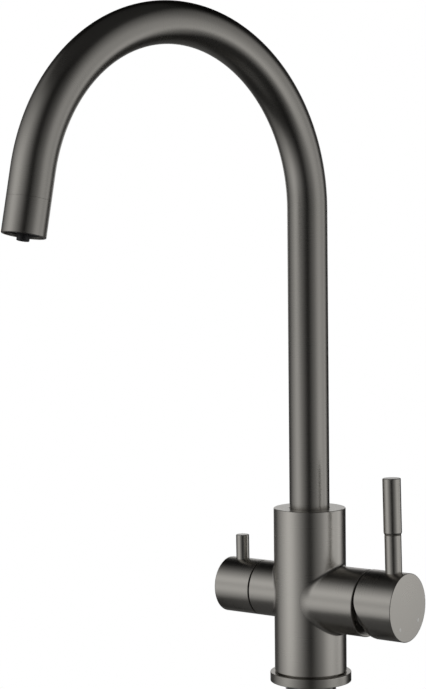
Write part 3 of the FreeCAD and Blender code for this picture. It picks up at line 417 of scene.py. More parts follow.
# The light tent's banks: the wide one on the left, its narrow core, the right one and the rear one.
# Each is a profile round the tap, as (degrees from the camera's side, level), and a profile up it,
# as (metres over the worktop, level). A bank's light is the product of the two.
TENT_BANKS = (
    (
        (
            (-136, 0), (-124, 0.28), (-110, 0.46), (-84, 0.78), (-56, 1), (-35, 0.58), (-15, 0.16),
            (-4, 0),
        ),
        (
            (-1.3, 0), (-0.8, 0.26), (-0.5, 0.37), (-0.3, 0.53), (-0.15, 0.56), (0, 0.45),
            (0.15, 0.26), (0.3, 0.2), (0.5, 0.4), (0.75, 0.62), (1.1, 0.61), (1.6, 0.47), (2.5, 0),
        ),
    ),
    (
        ((-130, 0.14), (-108, 0.4), (-88, 0.66), (-75, 1), (-62, 0.62), (-50, 0.14), (-25, 0)),
        (
            (-1.6, 0), (-1.2, 0.14), (-0.8, 0.22), (-0.58, 0.28), (-0.42, 0.31), (-0.3, 0.34),
            (-0.2, 0.34), (-0.1, 0.35), (0, 0.4), (0.12, 0.47), (0.26, 0.5), (0.42, 0.54),
            (0.6, 0.48), (0.85, 0.26), (1.2, 0.05), (1.8, 0),
        ),
    ),
    (
        (
            (0, 0), (15, 0.2), (36, 0.42), (56, 0.93), (73, 0.98), (86, 0.7), (95, 0.8), (106, 1.1),
            (124, 0),
        ),
        (
            (-1.3, 0), (-0.5, 0.31), (-0.3, 0.69), (-0.15, 0.84), (0, 0.76), (0.15, 0.64),
            (0.35, 0.61), (0.6, 0.55), (0.9, 0.41), (1.4, 0.25), (2.5, 0),
        ),
    ),
    (
        ((-180, 1), (-160, 0.8), (-144, 0), (144, 0), (160, 0.8), (180, 1)),
        (
            (0, 0.1), (0.15, 0.4), (0.24, 0.95), (0.33, 1.2), (0.42, 1.05), (0.52, 0.6), (0.66, 0.34),
            (0.85, 0.12), (1.1, 0),
        ),
    ),
)


def make_materials():
    """The finishes: the two gunmetal skins, of which the turned one is a lighter copy as painted
    light, and one for each material slot of the record.
    """
    finish = bpy.context.scene.tap_finish
    # The turned skin is a lighter copy of the gunmetal: painted light
    MATERIALS["turned"] = gunmetal_skin("gunmetal_turned_painted_light", 45.0, 5200.0, finish.turned_painted_light)
    MATERIALS["drawn"] = gunmetal_skin("gunmetal_drawn", 60.0, 4600.0, 1.0)
    for slot, name, colour, rough, scale in (
        ("gunmetal", "gunmetal_cast", finish.metal, 0.36, 3000.0),
        ("raw_brass", "machined_brass", finish.brass, 0.28, 4200.0),
        ("steel", "plain_steel", finish.steel, 0.30, 3600.0),
        ("dot_enamel", "bright_marks", finish.marks, 0.30, 900.0),
    ):
        MATERIALS[slot] = plain_metal(name, tuple(colour), rough, scale)
    for slot, colour, rough, grit in (
        ("seal_rubber", finish.rubber, 0.62, 0.25),
        ("cartridge_plastic", finish.white, 0.42, 0.12),
        ("bush_plastic", tint(finish.white, 1.08), 0.35, 0.08),
        ("inner_tube_plastic", finish.blue, 0.3, 0.05),
        ("aerator_plastic", finish.dark, 0.4, 0.15),
        ("disc_ceramic", finish.ceramic, 0.12, 0.03),
    ):
        MATERIALS[slot] = moulded(slot, tuple(colour), rough, grit)


def signed_volume(points, faces):
    """Six times the volume inside a set of triangles, negative where they face inwards."""
    a, b, c = (points[faces[:, k]] for k in range(3))
    return float(np.einsum("ij,ij->", a, np.cross(b, c)))


def once_round(around):
    """That many even angles once round, from nothing on."""
    return np.linspace(0.0, 2 * math.pi, around, endpoint=False)


def shell_of(rows, closed):
    """The points and faces of a grid of rows that each go once round, and which rows are poles.

    A row whose points all fall together becomes one pole. The rows themselves close where asked."""
    rows = np.asarray(rows, float)
    count, around = rows.shape[:2]
    together = 1e-9
    poles = [np.ptp(row, axis=0).max() < together for row in rows]
    starts = np.cumsum([0] + [1 if pole else around for pole in poles])
    points = np.concatenate([row[:1] if pole else row for row, pole in zip(rows, poles)])
    number = np.arange(around)
    index = np.array([start + (number * 0 if pole else number) for start, pole in zip(starts, poles)])
    faces = []
    for first in range(count if closed else count - 1):
        second = (first + 1) % count
        a, b = index[first], np.roll(index[first], -1)
        c, d = np.roll(index[second], -1), index[second]
        if poles[first]:
            faces += np.stack([a, c, d], axis=1).tolist()
        elif poles[second]:
            faces += np.stack([a, b, d], axis=1).tolist()
        else:
            faces += np.stack([a, b, c, d], axis=1).tolist()
    corners = np.array([[f[0], f[k], f[k + 1]] for f in faces for k in range(1, len(f) - 1)])
    if signed_volume(points, corners) < 0:
        faces = [face[::-1] for face in faces]
    return points, faces, poles


def piece_from(name, parts, body, node, material, bright=()):
    """One object from several closed shells, riding on a body in place of a node.

    Each part is (shell, grain). The grain holds the shell's rows again, in the coordinates that its
    brushing follows. Where given, bright says for each point how far its colour goes to the painted
    highlight of the hub's face."""
    points, faces, grain_rows, offset = [], [], [], 0
    for (shell_points, shell_faces, poles), grain in parts:
        points.append(shell_points)
        faces += [[corner + offset for corner in face] for face in shell_faces]
        grain_rows += [row[:1] if pole else row for row, pole in zip(grain, poles)]
        offset += len(shell_points)
    points = np.concatenate(points)
    mesh = bpy.data.meshes.new(name)
    mesh.from_pydata(points.tolist(), [], faces)
    attribute = mesh.attributes.new("grain", "FLOAT_VECTOR", "POINT")
    attribute.data.foreach_set("vector", np.concatenate(grain_rows).astype(np.float32).ravel())
    if len(bright):
        mesh.attributes.new("bright", "FLOAT", "POINT").data.foreach_set("value", bright)
    mesh.shade_smooth()
    mesh.set_sharp_from_angle(angle=SHARP)
    mesh.materials.append(MATERIALS[material])
    made = bpy.data.objects.new(name, mesh)
    bpy.context.scene.collection.objects.link(made)
    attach(made, body)
    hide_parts(node)


def rounded(corners, closed):
    """An outline of corners, each (along, radius), or (along, radius, rounding) where it is rounded.

    Long runs get a point close to each end, which keeps the shading of their faces flat."""
    path = []
    for i, (along, radius, *more) in enumerate(corners):
        here = np.array([along, radius])
        if not more:
            path.append(here)
            continue
        rounding = more[0]
        before = np.array(corners[i - 1][:2]) - here
        after = np.array(corners[(i + 1) % len(corners)][:2]) - here
        before /= np.linalg.norm(before)
        after /= np.linalg.norm(after)
        half = math.acos(max(-1.0, min(1.0, float(before @ after)))) / 2
        away = rounding / math.tan(half)
        centre = here + (before + after) / np.linalg.norm(before + after) * rounding / math.sin(half)
        start, stop = here + before * away - centre, here + after * away - centre
        for t in np.linspace(0.0, 1.0, ROUND_STEPS + 1):
            mid = start * (1 - t) + stop * t
            path.append(centre + mid / np.linalg.norm(mid) * rounding)
    if closed:
        path.append(path[0])
    held = [path[0]]
    for before, after in zip(path, path[1:]):
        run = np.linalg.norm(after - before)
        if run > 3 * SUPPORT:
            step = (after - before) / run * SUPPORT
            held += [before + step, after - step]
        held.append(after)
    return np.array(held[:-1] if closed else held)


def axes_for(way):
    """Two directions square to a line, as a right-handed set with it."""
    way = Vector(way).normalized()
    side = Vector((0.0, 1.0, 0.0)) if abs(way.y) < 0.5 else RIGHT
    first = (side - way * side.dot(way)).normalized()
    return np.array(first), np.array(way.cross(first)), np.array(way)


def travelled(path):
    """The distance run along an outline at each of its points."""
    steps = np.linalg.norm(np.diff(path, axis=0), axis=1)
    return np.concatenate([[0.0], np.cumsum(steps)])


def turned(corners, foot, way, around=128, closed=False):
    """A turned shell: the point at angle a is foot + way * along + (cos a, sin a) * radius."""
    path = rounded(corners, closed)
    first, second, main = axes_for(way)
    angles = once_round(around)
    spoke = np.cos(angles)[:, None] * first + np.sin(angles)[:, None] * second
    rows = np.array(foot) + path[:, :1, None] * main + path[:, 1:, None] * spoke[None]
    run = travelled(path)[:, None] * np.ones(around)
    grain = np.stack([path[:, 1:] * np.cos(angles), path[:, 1:] * np.sin(angles), run], axis=-1)
    return shell_of(rows, closed), grain


def turned_piece(corners, foot, way, body, node, material, around=128, closed=False):
    """One turned shell as the skin of a node."""
    parts = [turned(corners, foot, way, around, closed)]
    piece_from(node + "_skin", parts, body, node, material)


def axis_point(height):
    """A point on the column's axis."""
    return Vector((0.0, 0.0, height))


def leaning(lean):
    """The direction of a rod that leans to the left, seen from the front, by an angle."""
    return Vector((-math.sin(lean), 0.0, math.cos(lean)))


def spout_line(steps):
    """The spout's middle line: heights up the riser, then the bend, then the outlet's run.

    Gives each point's distance out from the column's axis, its height and how far the line leans."""
    sizes = bpy.context.scene.tap_sizes
    low, riser_points, run_points = 100.0 * MM, 11, 3
    riser = np.linspace(low, sizes.bend_start, riser_points + 1)[:-1]
    angles = np.linspace(0.0, sizes.bend_sweep, steps)
    out = np.concatenate([riser * 0.0, sizes.bend_radius * (1 - np.cos(angles))])
    high = np.concatenate([riser, sizes.bend_start + sizes.bend_radius * np.sin(angles)])
    lean = np.concatenate([riser * 0.0, angles])
    run = np.linspace(0.0, sizes.outlet_run - sizes.collar, run_points + 1)[1:]
    out = np.concatenate([out, out[-1] + run * math.sin(sizes.bend_sweep)])
    high = np.concatenate([high, high[-1] + run * math.cos(sizes.bend_sweep)])
    lean = np.concatenate([lean, run * 0.0 + sizes.bend_sweep])
    return out, high, lean


def spout_front():
    """The level direction that the spout is swung to."""
    swing = bpy.context.scene.tap_sizes.swing
    return np.array([math.sin(swing), -math.cos(swing), 0.0])


def outlet_frame():
    """The middle of the outlet's rim, and the direction back up the spout."""
    sizes = bpy.context.scene.tap_sizes
    sweep, radius = sizes.bend_sweep, sizes.bend_radius
    front = Vector(spout_front())
    way = front * math.sin(sweep) + UP * math.cos(sweep)
    stop = front * radius * (1 - math.cos(sweep)) + UP * (sizes.bend_start + radius * math.sin(sweep))
    return stop + way * sizes.outlet_run, -way


class TAP_OT_body(bpy.types.Operator):
    """Makes the body: the column and the two side barrels, with their open bores"""

    bl_idname = "tap.body"
    bl_label = "Body"

    def execute(self, context):
        s = context.scene.tap_sizes
        edge = s.edge
        seat = s.foot_low + 12.0 * MM
        column_low = s.ring_top + s.base_gap
        column = [
            (s.swivel_floor, 0.0),
            (s.swivel_floor, s.swivel_radius),
            (s.column_top, s.swivel_radius, edge * 0.5),
            (s.column_top, s.column_radius, edge),
            (column_low, s.column_radius, edge * 0.4),
            (column_low, s.foot_radius),
            (s.foot_low, s.foot_radius),
            (s.foot_low, s.shank_radius),
            (seat, s.shank_radius),
            (seat, 0.0),
        ]
        mixer = self.barrel(edge, s.mixer_radius, s.mixer_end, bore=19.0 * MM, floor=36.5 * MM)
        filtered = self.barrel(edge, s.filter_radius, s.filter_end, bore=10.5 * MM, floor=20.0 * MM)
        parts = [
            turned(column, axis_point(0.0), UP, around=160),
            turned(mixer, axis_point(s.mixer_height), RIGHT, around=144),
            turned(filtered, axis_point(s.filter_height), LEFT, around=144),
            self.junction(s, s.mixer_radius, s.mixer_height, 1.0, s.junction_tip),
            self.junction(s, s.filter_radius, s.filter_height, -1.0, s.junction),
        ]
        counts = [len(points) for (points, _, _), _ in parts]
        # Painted highlight: the column's points take part of the faced end's lighter colour
        bright = np.zeros(sum(counts), np.float32)
        bright[: counts[0]] = context.scene.tap_finish.column_painted_highlight
        piece_from("body_casting", parts, "root", "tap_body", "turned", bright)
        return {"FINISHED"}

    def barrel(self, edge, radius, end, bore, floor):
        """The outline of a side barrel, from the column's axis to its end and down its bore."""
        return [
            (0.0, 0.0),
            (0.0, radius),
            (end, radius, edge),
            (end, bore, edge * 0.4),
            (floor, bore),
            (floor, 0.0),
        ]

    def junction(self, s, radius, height, side, tip):
        """The rounded joint of a barrel with the column, ground to a band that widens to its sides.

        At each angle a ball touches both cylinders, and the surface is its arc between them. The
        ball's radius is the band's width over twice the sine of half the arc's angle, found in rounds
        because that angle follows from the radius. The width goes from the junction's at the top and
        bottom to tip at the sides with the sixth power of the cosine. The last row, sunk below both
        surfaces, closes the band."""
        around, steps, rounds = 240, 10, 14
        sunk = 0.98
        angles = once_round(around)
        width = s.junction + (tip - s.junction) * np.cos(angles) ** 6
        ball = np.full(around, 1.0 * MM)
        for _ in range(rounds):
            y = (radius + ball) * np.cos(angles)
            z = (radius + ball) * np.sin(angles)
            x = np.sqrt((s.column_radius + ball) ** 2 - y**2)
            centre = np.stack([x, y, z], axis=-1)
            flat = (s.column_radius / (s.column_radius + ball))[:, None]
            barrel = (radius / (radius + ball))[:, None]
            to_column = centre * (flat * (1, 1, 0) + (0, 0, 1)) - centre
            to_barrel = centre * (barrel * (0, 1, 1) + (1, 0, 0)) - centre
            cosine = (to_column * to_barrel).sum(axis=1) / ball**2
            ball = width / (2 * np.sqrt(np.clip((1 - cosine) / 2, 0.02, 1.0)))
        rows = []
        reach = np.linalg.norm(to_column, axis=1)[:, None]
        for t in np.linspace(0.0, 1.0, steps + 1):
            way = to_column * (1 - t) + to_barrel * t
            rows.append(centre + way / np.linalg.norm(way, axis=1)[:, None] * reach)
        y, z = radius * np.cos(angles), radius * np.sin(angles)
        inside = np.stack([np.sqrt(s.column_radius**2 - y**2), y, z], axis=-1)
        rows.append(inside * sunk)
        rows = np.array(rows) * (side, 1.0, 1.0) + (0.0, 0.0, height)
        return shell_of(rows, True), rows


class TAP_OT_base(bpy.types.Operator):
    """Makes the base ring and its flat seal"""

    bl_idname = "tap.base"
    bl_label = "Base ring"

    def execute(self, context):
        s = context.scene.tap_sizes
        seal_bore, seal_radius = 21.1 * MM, 23.5 * MM
        groove = high_of("base_seal").z
        floor = s.foot_low
        ring = [
            (0.0, s.ring_hole),
            (0.0, seal_bore),
            (groove, seal_bore),
            (groove, seal_radius),
            (0.0, seal_radius),
            (0.0, s.ring_radius, s.edge * 0.5),
            (s.ring_top, s.ring_radius, s.edge),
            (s.ring_top, s.ring_bore, s.edge * 0.4),
            (floor, s.ring_bore),
            (floor, s.ring_hole),
        ]
        turned_piece(
            ring, axis_point(0.0), UP, "root", "base_ring", "turned", around=160, closed=True
        )
        seal = [(0.0, seal_bore), (0.0, seal_radius), (groove, seal_radius), (groove, seal_bore)]
        turned_piece(seal, axis_point(0.0), UP, "root", "base_seal", "seal_rubber", closed=True)
        return {"FINISHED"}


class TAP_OT_spout(bpy.types.Operator):
    """Makes the swan-neck tube, its outlet collar and the filtered water nozzle"""

    bl_idname = "tap.spout"
    bl_label = "Spout"

    def execute(self, context):
        s = context.scene.tap_sizes
        self.make_tube(s)
        rim, up = outlet_frame()
        self.make_collar(s, rim, up)
        self.make_nozzle(s, rim, up)
        return {"FINISHED"}

    def make_tube(self, s):
        """The tube: at each point of the middle line the wall goes round in the plane square to it."""
        around, bend_steps = 112, 150
        out, high, lean = spout_line(bend_steps)
        front = spout_front()
        side = np.cross(front, np.array(UP))
        angles = once_round(around)
        centre = out[:, None] * front + high[:, None] * np.array(UP)
        across = np.cos(lean)[:, None] * front - np.sin(lean)[:, None] * np.array(UP)
        run = travelled(centre)

        def wall(radius):
            """The rows of one wall, and their grain: round the tube, and the run along it."""
            cos, sin = np.cos(angles), np.sin(angles)
            ring = cos[None, :, None] * across[:, None] + sin[None, :, None] * side
            rows = centre[:, None] + radius * ring
            grain = np.empty_like(rows)
            grain[..., 0], grain[..., 1] = radius * cos, radius * sin
            grain[..., 2] = run[:, None]
            return rows, grain

        outer, outer_grain = wall(s.tube_radius)
        inner, inner_grain = wall(s.tube_radius - s.tube_wall)
        rows = np.concatenate([outer, inner[::-1]])
        grain = np.concatenate([outer_grain, inner_grain[::-1]])
        parts = [(shell_of(rows, True), grain)]
        piece_from("swan_neck_tube", parts, "spout", "spout_tube", "drawn")

    def make_collar(self, s, rim, up):
        """The collar, with the hairline seam where it meets the tube."""
        bore = s.tube_radius - s.tube_wall
        seam = 0.1 * MM
        ledge, neck = 8.5 * MM, 9.8 * MM
        ledge_low, ledge_high, neck_top = 11.5 * MM, 14.0 * MM, s.collar + 8.0 * MM
        collar = [
            (0.0, bore, s.edge * 0.4),
            (0.0, s.tube_radius, s.edge),
            (s.collar - seam, s.tube_radius),
            (s.collar, s.tube_radius - seam),
            (s.collar, bore),
            (neck_top, bore),
            (neck_top, neck),
            (ledge_high, neck),
            (ledge_high, ledge),
            (ledge_low, ledge),
            (ledge_low, bore),
        ]
        turned_piece(collar, rim, up, "spout", "outlet_collar", "drawn", closed=True)

    def make_nozzle(self, s, rim, up):
        """The nozzle, with the wider cup inside the outlet that the inner tube ends in."""
        bore, cup_bore, cup_radius = 1.8 * MM, 4.0 * MM, 5.2 * MM
        cup_low, cup_floor, cup_top = 9.5 * MM, 10.5 * MM, 16.5 * MM
        nozzle = [
            (-s.nozzle_proud, bore, 0.3 * MM),
            (-s.nozzle_proud, s.nozzle_radius, 0.5 * MM),
            (cup_low, s.nozzle_radius),
            (cup_low, cup_radius, 0.3 * MM),
            (cup_top, cup_radius, 0.3 * MM),
            (cup_top, cup_bore),
            (cup_floor, cup_bore),
            (cup_floor, bore),
        ]
        plastic = "aerator_plastic"
        turned_piece(nozzle, rim, up, "spout", "filtered_nozzle", plastic, around=64, closed=True)


class TAP_OT_mixer_handle(bpy.types.Operator):
    """Makes the mixer's hub, its two-step lever and the marks on its face"""

    bl_idname = "tap.mixer_handle"
    bl_label = "Mixer handle"

    def execute(self, context):
        s = context.scene.tap_sizes
        self.make_hub(s)
        self.make_lever(s)
        self.make_marks(s)
        return {"FINISHED"}

    def make_hub(self, s):
        """The hub: a turned cup with a rounded heel, whose rear rim is cut at a slant.

        Round the lower half the heel takes a quarter of a circle off the rear edge. Past heel_from on
        each side it stays on the straight line that leaves the hub's circle there, so it fades out.
        From free_from on beyond that there is none. The rim's x grows with the depth of each point
        under the axis, measured at rim_share of the hub's radius. Each row of the heel is nudged on a
        little, so that no two rows fall together."""
        around, steps = 240, 12
        angles = once_round(around) + math.pi / around
        wall, face_thick, lip, nudge = 2.2 * MM, 16.5 * MM, 0.05 * MM, 0.01 * MM
        farthest, free_from = math.radians(80.0), math.radians(79.0)
        rim_share = 0.95
        skirt = s.hub_radius - wall
        solid = s.hub_end - face_thick
        rear = s.mixer_end + s.hub_gap
        full = rear + s.heel
        slope = (s.hub_gap_low - s.hub_gap) / s.hub_radius
        edge = s.edge
        below = np.abs((angles - 1.5 * math.pi + math.pi) % (2 * math.pi) - math.pi)
        past = np.maximum(0.0, below - (math.pi / 2 + s.heel_from))
        leaves = np.cos(np.minimum(past, farthest))
        free = past > free_from

        def bend_for(taken):
            """How far round the heel's arc a depth under the hub's surface is reached."""
            return np.arccos(np.clip(1 - taken / s.heel, 0.0, 1.0))

        def level(x):
            return np.full(around, x)

        last_bend = bend_for(s.hub_radius * (1 - leaves))
        knife = bend_for(s.hub_radius - (skirt + lip) * leaves)
        sink = np.maximum(0.0, -s.hub_radius * rim_share * np.sin(angles))
        rim = rear + slope * sink
        first_bend = np.minimum(knife, np.arcsin(np.clip((full - rim) / s.heel, 0.0, 1.0)))
        first_bend = np.where(free, math.pi / 2, np.maximum(first_bend, last_bend))
        last_bend = np.where(free, math.pi / 2, last_bend)
        outline = [(level(solid), level(0.0)), (level(solid), level(skirt))]
        outline.append((full - s.heel * np.sin(first_bend), level(skirt)))
        for step in range(steps + 1):
            bend = first_bend + (last_bend - first_bend) * step / steps
            taken = s.heel * (1 - np.cos(bend))
            reach = np.where(free, s.hub_radius, (s.hub_radius - taken) / leaves)
            x = full - s.heel * np.sin(bend) + step * nudge
            outline.append((x, np.minimum(s.hub_radius, reach)))
        for along in (SUPPORT, 9.0 * MM):
            x = np.maximum(outline[-1][0] + 0.1 * MM, rear + along)
            outline.append((x, level(s.hub_radius)))
        outline.append((level(s.hub_end - edge - SUPPORT), level(s.hub_radius)))
        for t in np.linspace(0.0, math.pi / 2, ROUND_STEPS + 1):
            x = s.hub_end - edge + edge * math.sin(t)
            outline.append((level(x), level(s.hub_radius - edge + edge * math.cos(t))))
        for radius in (20.2 * MM, 16.0 * MM, 11.0 * MM, 5.0 * MM, 0.0):
            outline.append((level(s.hub_end), level(radius)))
        rows, grain, run = [], [], 0.0
        for number, (x, radius) in enumerate(outline):
            y, z = radius * np.cos(angles), radius * np.sin(angles)
            rows.append(np.stack([x, y, s.mixer_height + z], axis=-1))
            if number:
                before = outline[number - 1]
                run += math.hypot(float((x - before[0]).mean()), float((radius - before[1]).mean()))
            grain.append(np.stack([y, z, level(run)], axis=-1))
        shell = shell_of(rows, False)
        # Painted highlight: the points of the faced end are marked to take the lighter colour
        bright = (shell[0][:, 0] > s.hub_end - nudge).astype(np.float32)
        parts = [(shell, np.array(grain))]
        piece_from("mixer_hub_skin", parts, "mixer_handle", "mixer_hub", "turned", bright)

    def make_lever(self, s):
        """The lever's rod and the thicker sleeve on its upper half, leaning to the column."""
        foot = Vector((s.lever_at, 0.0, s.mixer_height))
        way = leaning(s.lever_lean)
        step, top = 96.9 * MM - s.mixer_height, 131.4 * MM - s.mixer_height
        seat, plug = s.hub_radius - 5.0 * MM, top - 3.0 * MM
        core = 3.6 * MM
        radius, grip_radius = 5.15 * MM, 5.6 * MM
        seam, taper = 0.25 * MM, 1.4 * MM
        rod = [
            (seat, 0.0),
            (seat, radius),
            (step - seam, radius),
            (step, radius - seam),
            (step, core),
            (plug, core),
            (plug, 0.0),
        ]
        turned_piece(rod, foot, way, "mixer_handle", "lever_rod", "turned", around=72)
        grip = [
            (step, core),
            (step, radius - seam),
            (step + seam, radius),
            (step + taper, grip_radius),
            (top, grip_radius, 0.5 * MM),
            (top, 0.0),
            (plug, 0.0),
            (plug, core),
        ]
        turned_piece(grip, foot, way, "mixer_handle", "lever_grip", "turned", around=72)

    def make_marks(self, s):
        """The two small bright marks near the edge of the hub's face."""
        out, radius = 15.0 * MM, 1.15 * MM
        low, high = s.hub_end - 0.4 * MM, s.hub_end + 0.03 * MM
        mark = [(low, 0.0), (low, radius), (high, radius), (high, 0.0)]
        parts = []
        for degrees in (-128.0, -38.0):
            angle = math.radians(degrees)
            foot = axis_point(s.mixer_height + out * math.sin(angle))
            foot.y = out * math.cos(angle)
            parts.append(turned(mark, foot, RIGHT, around=32))
        piece_from("hub_marks", parts, "mixer_handle", "warm_cold_dots", "dot_enamel")


class TAP_OT_filter_handle(bpy.types.Operator):
    """Makes the filtered water knob and its short pin"""

    bl_idname = "tap.filter_handle"
    bl_label = "Filter handle"

    def execute(self, context):
        s = context.scene.tap_sizes
        start, end = s.filter_end + s.knob_gap, 62.0 * MM
        hollow = start + 8.4 * MM
        bore = s.filter_radius - 1.5 * MM
        knob = [
            (hollow, 0.0),
            (hollow, bore),
            (start, bore),
            (start, s.filter_radius, s.edge * 0.6),
            (end, s.filter_radius, 0.8 * MM),
            (end, 10.0 * MM),
            (end, 0.0),
        ]
        axis = axis_point(s.filter_height)
        turned_piece(knob, axis, LEFT, "filter_handle", "filter_knob", "turned", around=144)
        foot = Vector((-s.pin_at, 0.0, s.filter_height))
        way = leaning(s.pin_lean)
        low, top, radius = 14.5 * MM, 87.7 * MM - s.filter_height, 4.2 * MM
        pin = [(low, 0.0), (low, radius), (top, radius, 0.5 * MM), (top, 0.0)]
        turned_piece(pin, foot, way, "filter_handle", "filter_pin", "turned", around=64)
        return {"FINISHED"}


class TAP_OT_fixings(bpy.types.Operator):
    """Makes the threaded shank and the washers under the worktop"""

    bl_idname = "tap.fixings"
    bl_label = "Fixings"

    def execute(self, context):
        s = context.scene.tap_sizes
        self.make_shank(s)
        for node, material in (("rubber_washer", "seal_rubber"), ("steel_washer", "steel")):
            low, high = low_of(node).z, high_of(node).z
            outer, bore = high_of(node).x, s.shank_radius + 0.2 * MM
            edge = 0.3 * MM
            washer = [(low, bore, edge), (low, outer, edge), (high, outer, edge), (high, bore, edge)]
            turned_piece(washer, axis_point(0.0), UP, "root", node, material, closed=True)
        return {"FINISHED"}

    def make_shank(self, s):
        """The shank: its radius falls by the thread's depth along a helix.

        At height z and angle a the depth is a saw of z / pitch - a / (2 pi), faded near the lower
        end, where the shank also gets a little thinner to lead the nut on."""
        around, per_turn = 96, 8
        thread_depth, lead_in = 0.85 * MM, 0.5 * MM
        low, high = low_of("mounting_shank").z, high_of("mounting_shank").z
        rows_count = int((high - low) / s.thread_pitch * per_turn)
        heights = np.linspace(low, high, rows_count)
        angles = once_round(around)
        phase = heights[:, None] / s.thread_pitch - angles[None] / (2 * math.pi)
        saw = np.abs((phase % 1.0) * 2 - 1)
        fade = np.clip((heights - low) / (2 * s.thread_pitch), 0.25, 1.0)
        depth = thread_depth * (1 - saw) * fade[:, None]
        radius = s.shank_radius - depth - (1 - fade[:, None]) * lead_in
        spoke = np.stack([np.cos(angles), np.sin(angles)], axis=-1)

        def wall(radii):
            flat = radii[..., None] * spoke[None]
            up = np.broadcast_to(heights[:, None, None], flat.shape[:2] + (1,))
            return np.concatenate([flat, up], axis=-1)

        outer = wall(radius)
        inner = wall(np.full_like(radius, s.shank_bore))[[-1, 0]]
        rows = np.concatenate([outer, inner])
        parts = [(shell_of(rows, True), rows)]
        piece_from("threaded_shank", parts, "root", "mounting_shank", "steel")


class TAP_OT_inner(bpy.types.Operator):
    """Gives the nodes that stay as they are, most of them inside, their finishes"""

    bl_idname = "tap.inner"
    bl_label = "Inner pieces"

    def execute(self, context):
        for row in frame["record"]["subparts"]:
            node = frame["nodes"][row["node"]]
            node.data.materials.clear()
            node.data.materials.append(MATERIALS[row["material_slot"]])
        return {"FINISHED"}


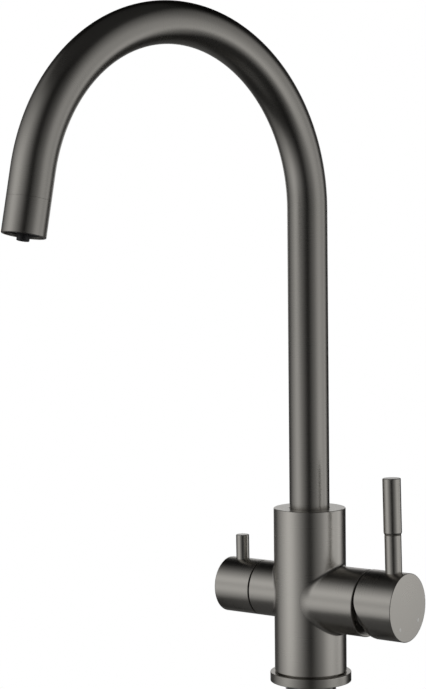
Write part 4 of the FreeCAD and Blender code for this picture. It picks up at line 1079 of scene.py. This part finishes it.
class TAP_OT_studio(bpy.types.Operator):
    """Sets the camera, the room, the floor and the light tent"""

    bl_idname = "tap.studio"
    bl_label = "Studio"

    def execute(self, context):
        studio = context.scene.tap_studio
        self.make_camera(studio)
        self.make_room(studio)
        self.make_floor(studio)
        self.make_tent(studio)
        context.scene.view_settings.view_transform = "Standard"
        return {"FINISHED"}

    def make_camera(self, studio):
        """The camera, from its level distance, sideways offset, height, pitch and roll."""
        a, pitch, roll = studio.azimuth, studio.pitch, studio.roll
        right = Vector((math.cos(a), math.sin(a), 0.0))
        back = Vector((math.sin(a), -math.cos(a), 0.0))
        spot = back * studio.distance + right * studio.aside + UP * studio.height
        ahead = -back * math.cos(pitch) - UP * math.sin(pitch)
        above = right.cross(ahead)
        side = right * math.cos(roll) + above * math.sin(roll)
        top = above * math.cos(roll) - right * math.sin(roll)
        data = bpy.data.cameras.new("tap_camera")
        data.sensor_width = 36.0
        data.lens = studio.focal * data.sensor_width / PICTURE_LONG
        data.clip_start, data.clip_end = 0.01, 100.0
        camera = bpy.data.objects.new("tap_camera", data)
        turned_to = Matrix((side, top, -ahead)).transposed()
        camera.matrix_world = Matrix.Translation(spot) @ turned_to.to_4x4()
        bpy.context.scene.collection.objects.link(camera)
        bpy.context.scene.camera = camera

    def stage_mesh(self, name, points, faces, material):
        """One mesh of the stage."""
        mesh = bpy.data.meshes.new(name)
        mesh.from_pydata(points, [], faces)
        mesh.materials.append(material)
        made = bpy.data.objects.new(name, mesh)
        bpy.context.scene.collection.objects.link(made)
        return made

    def make_room(self, studio):
        """The room's dim light, and the plain white that the camera sees."""
        tree = Tree(bpy.data.worlds.new("room"))
        camera = tree.node("ShaderNodeLightPath", "Is Camera Ray")
        seen = studio.fill + camera * (1 - studio.fill)
        glow = tree.node("ShaderNodeBackground", "Background", None, {"Color": seen, "Strength": 1.0})
        bpy.context.scene.world = tree.output(glow, "ShaderNodeOutputWorld")

    def make_floor(self, studio):
        """A pale round floor under the tap that is white to the camera and dim in the metal."""
        tree = Tree(bpy.data.materials.new("floor_pale"))
        camera = tree.node("ShaderNodeLightPath", "Is Camera Ray")
        mirror = tree.node("ShaderNodeLightPath", "Is Glossy Ray")
        seen = camera + mirror * studio.floor_mirror
        tone = (studio.floor_tone,) * 3
        matt = tree.node("ShaderNodeBsdfDiffuse", "BSDF", None, {"Color": tone})
        glow = tree.node("ShaderNodeEmission", "Emission", None, {"Color": seen, "Strength": 1.0})
        both = tree.node("ShaderNodeAddShader", "Shader", None, {"Shader": matt, "Shader_001": glow})
        angles = once_round(64)
        x = studio.floor_radius * np.cos(angles)
        y = studio.floor_radius * np.sin(angles) - studio.floor_ahead
        rim = np.stack([x, y, np.full_like(x, cad_low.z)], axis=-1)
        self.stage_mesh("floor", rim.tolist(), [list(range(len(rim)))], tree.output(both))

    def tent_glow(self, studio):
        """The tent's emission: the sum of its banks, each its profile round times its profile up.

        The azimuth is measured from the camera's side of the tap, and the height from the worktop."""
        tree = Tree(bpy.data.materials.new("tent_glow"))
        where = tree.node("ShaderNodeTexCoord", "Object")
        parts = tree.node("ShaderNodeSeparateXYZ", None, None, {"Vector": where})
        x, y, z = (Socket(tree, parts.outputs[axis]) for axis in "XYZ")
        ahead = x * math.sin(studio.azimuth) - y * math.cos(studio.azimuth)
        aside = x * math.cos(studio.azimuth) + y * math.sin(studio.azimuth)
        azimuth = aside.math("ARCTAN2", aside, ahead) * math.degrees(1.0)
        light = 0.0
        for around, up in TENT_BANKS:
            level = tree.ramp(z, studio.tent_low, studio.tent_high, up)
            light = light + tree.ramp(azimuth, -180.0, 180.0, around) * level
        inputs = {"Color": light, "Strength": studio.tent_level}
        return tree.output(tree.node("ShaderNodeEmission", "Emission", None, inputs))

    def make_tent(self, studio):
        """The light tent: an upright cylinder round the tap, open at both ends, facing inwards.

        The point at angle a and height z is (radius sin a, -radius cos a, z)."""
        around, rows = 144, 27
        angles = once_round(around)
        heights = np.linspace(studio.tent_low, studio.tent_high, rows)
        x = np.broadcast_to(studio.tent_radius * np.sin(angles), (rows, around))
        y = np.broadcast_to(-studio.tent_radius * np.cos(angles), (rows, around))
        z = np.broadcast_to(heights[:, None], (rows, around))
        points = np.stack([x, y, z], axis=-1).reshape(-1, 3)
        index = np.arange(rows * around).reshape(rows, around)
        after = np.roll(index, -1, axis=1)
        faces = np.stack([after[:-1], index[:-1], index[1:], after[1:]], axis=-1)
        quads = faces.reshape(-1, 4).tolist()
        tent = self.stage_mesh("light_tent", points.tolist(), quads, self.tent_glow(studio))
        tent.visible_camera = False
        tent.visible_shadow = False


class TAP_PT_panel(bpy.types.Panel):
    """Lists the tap's pieces"""

    bl_label = "Kitchen mixer tap"
    bl_idname = "TAP_PT_panel"
    bl_space_type = "VIEW_3D"
    bl_region_type = "UI"
    bl_category = "Tap"

    def draw(self, context):
        for step in STEPS:
            self.layout.operator(step.bl_idname)


STEPS = (
    TAP_OT_body,
    TAP_OT_base,
    TAP_OT_spout,
    TAP_OT_mixer_handle,
    TAP_OT_filter_handle,
    TAP_OT_fixings,
    TAP_OT_inner,
    TAP_OT_studio,
)
GROUPS = (TapSizes, TapFinish, StudioSettings)


def register():
    for made in GROUPS + STEPS + (TAP_PT_panel,):
        bpy.utils.register_class(made)
    bpy.types.Scene.tap_sizes = bpy.props.PointerProperty(type=TapSizes)
    bpy.types.Scene.tap_finish = bpy.props.PointerProperty(type=TapFinish)
    bpy.types.Scene.tap_studio = bpy.props.PointerProperty(type=StudioSettings)


def unregister():
    del bpy.types.Scene.tap_sizes, bpy.types.Scene.tap_finish, bpy.types.Scene.tap_studio
    for made in reversed(GROUPS + STEPS + (TAP_PT_panel,)):
        bpy.utils.unregister_class(made)


def main():
    """Makes every piece in order."""
    register()
    make_materials()
    bpy.ops.tap.body()
    bpy.ops.tap.base()
    bpy.ops.tap.spout()
    bpy.ops.tap.mixer_handle()
    bpy.ops.tap.filter_handle()
    bpy.ops.tap.fixings()
    bpy.ops.tap.inner()
    bpy.ops.tap.studio()
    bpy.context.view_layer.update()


if __name__ == "__main__":
    main()
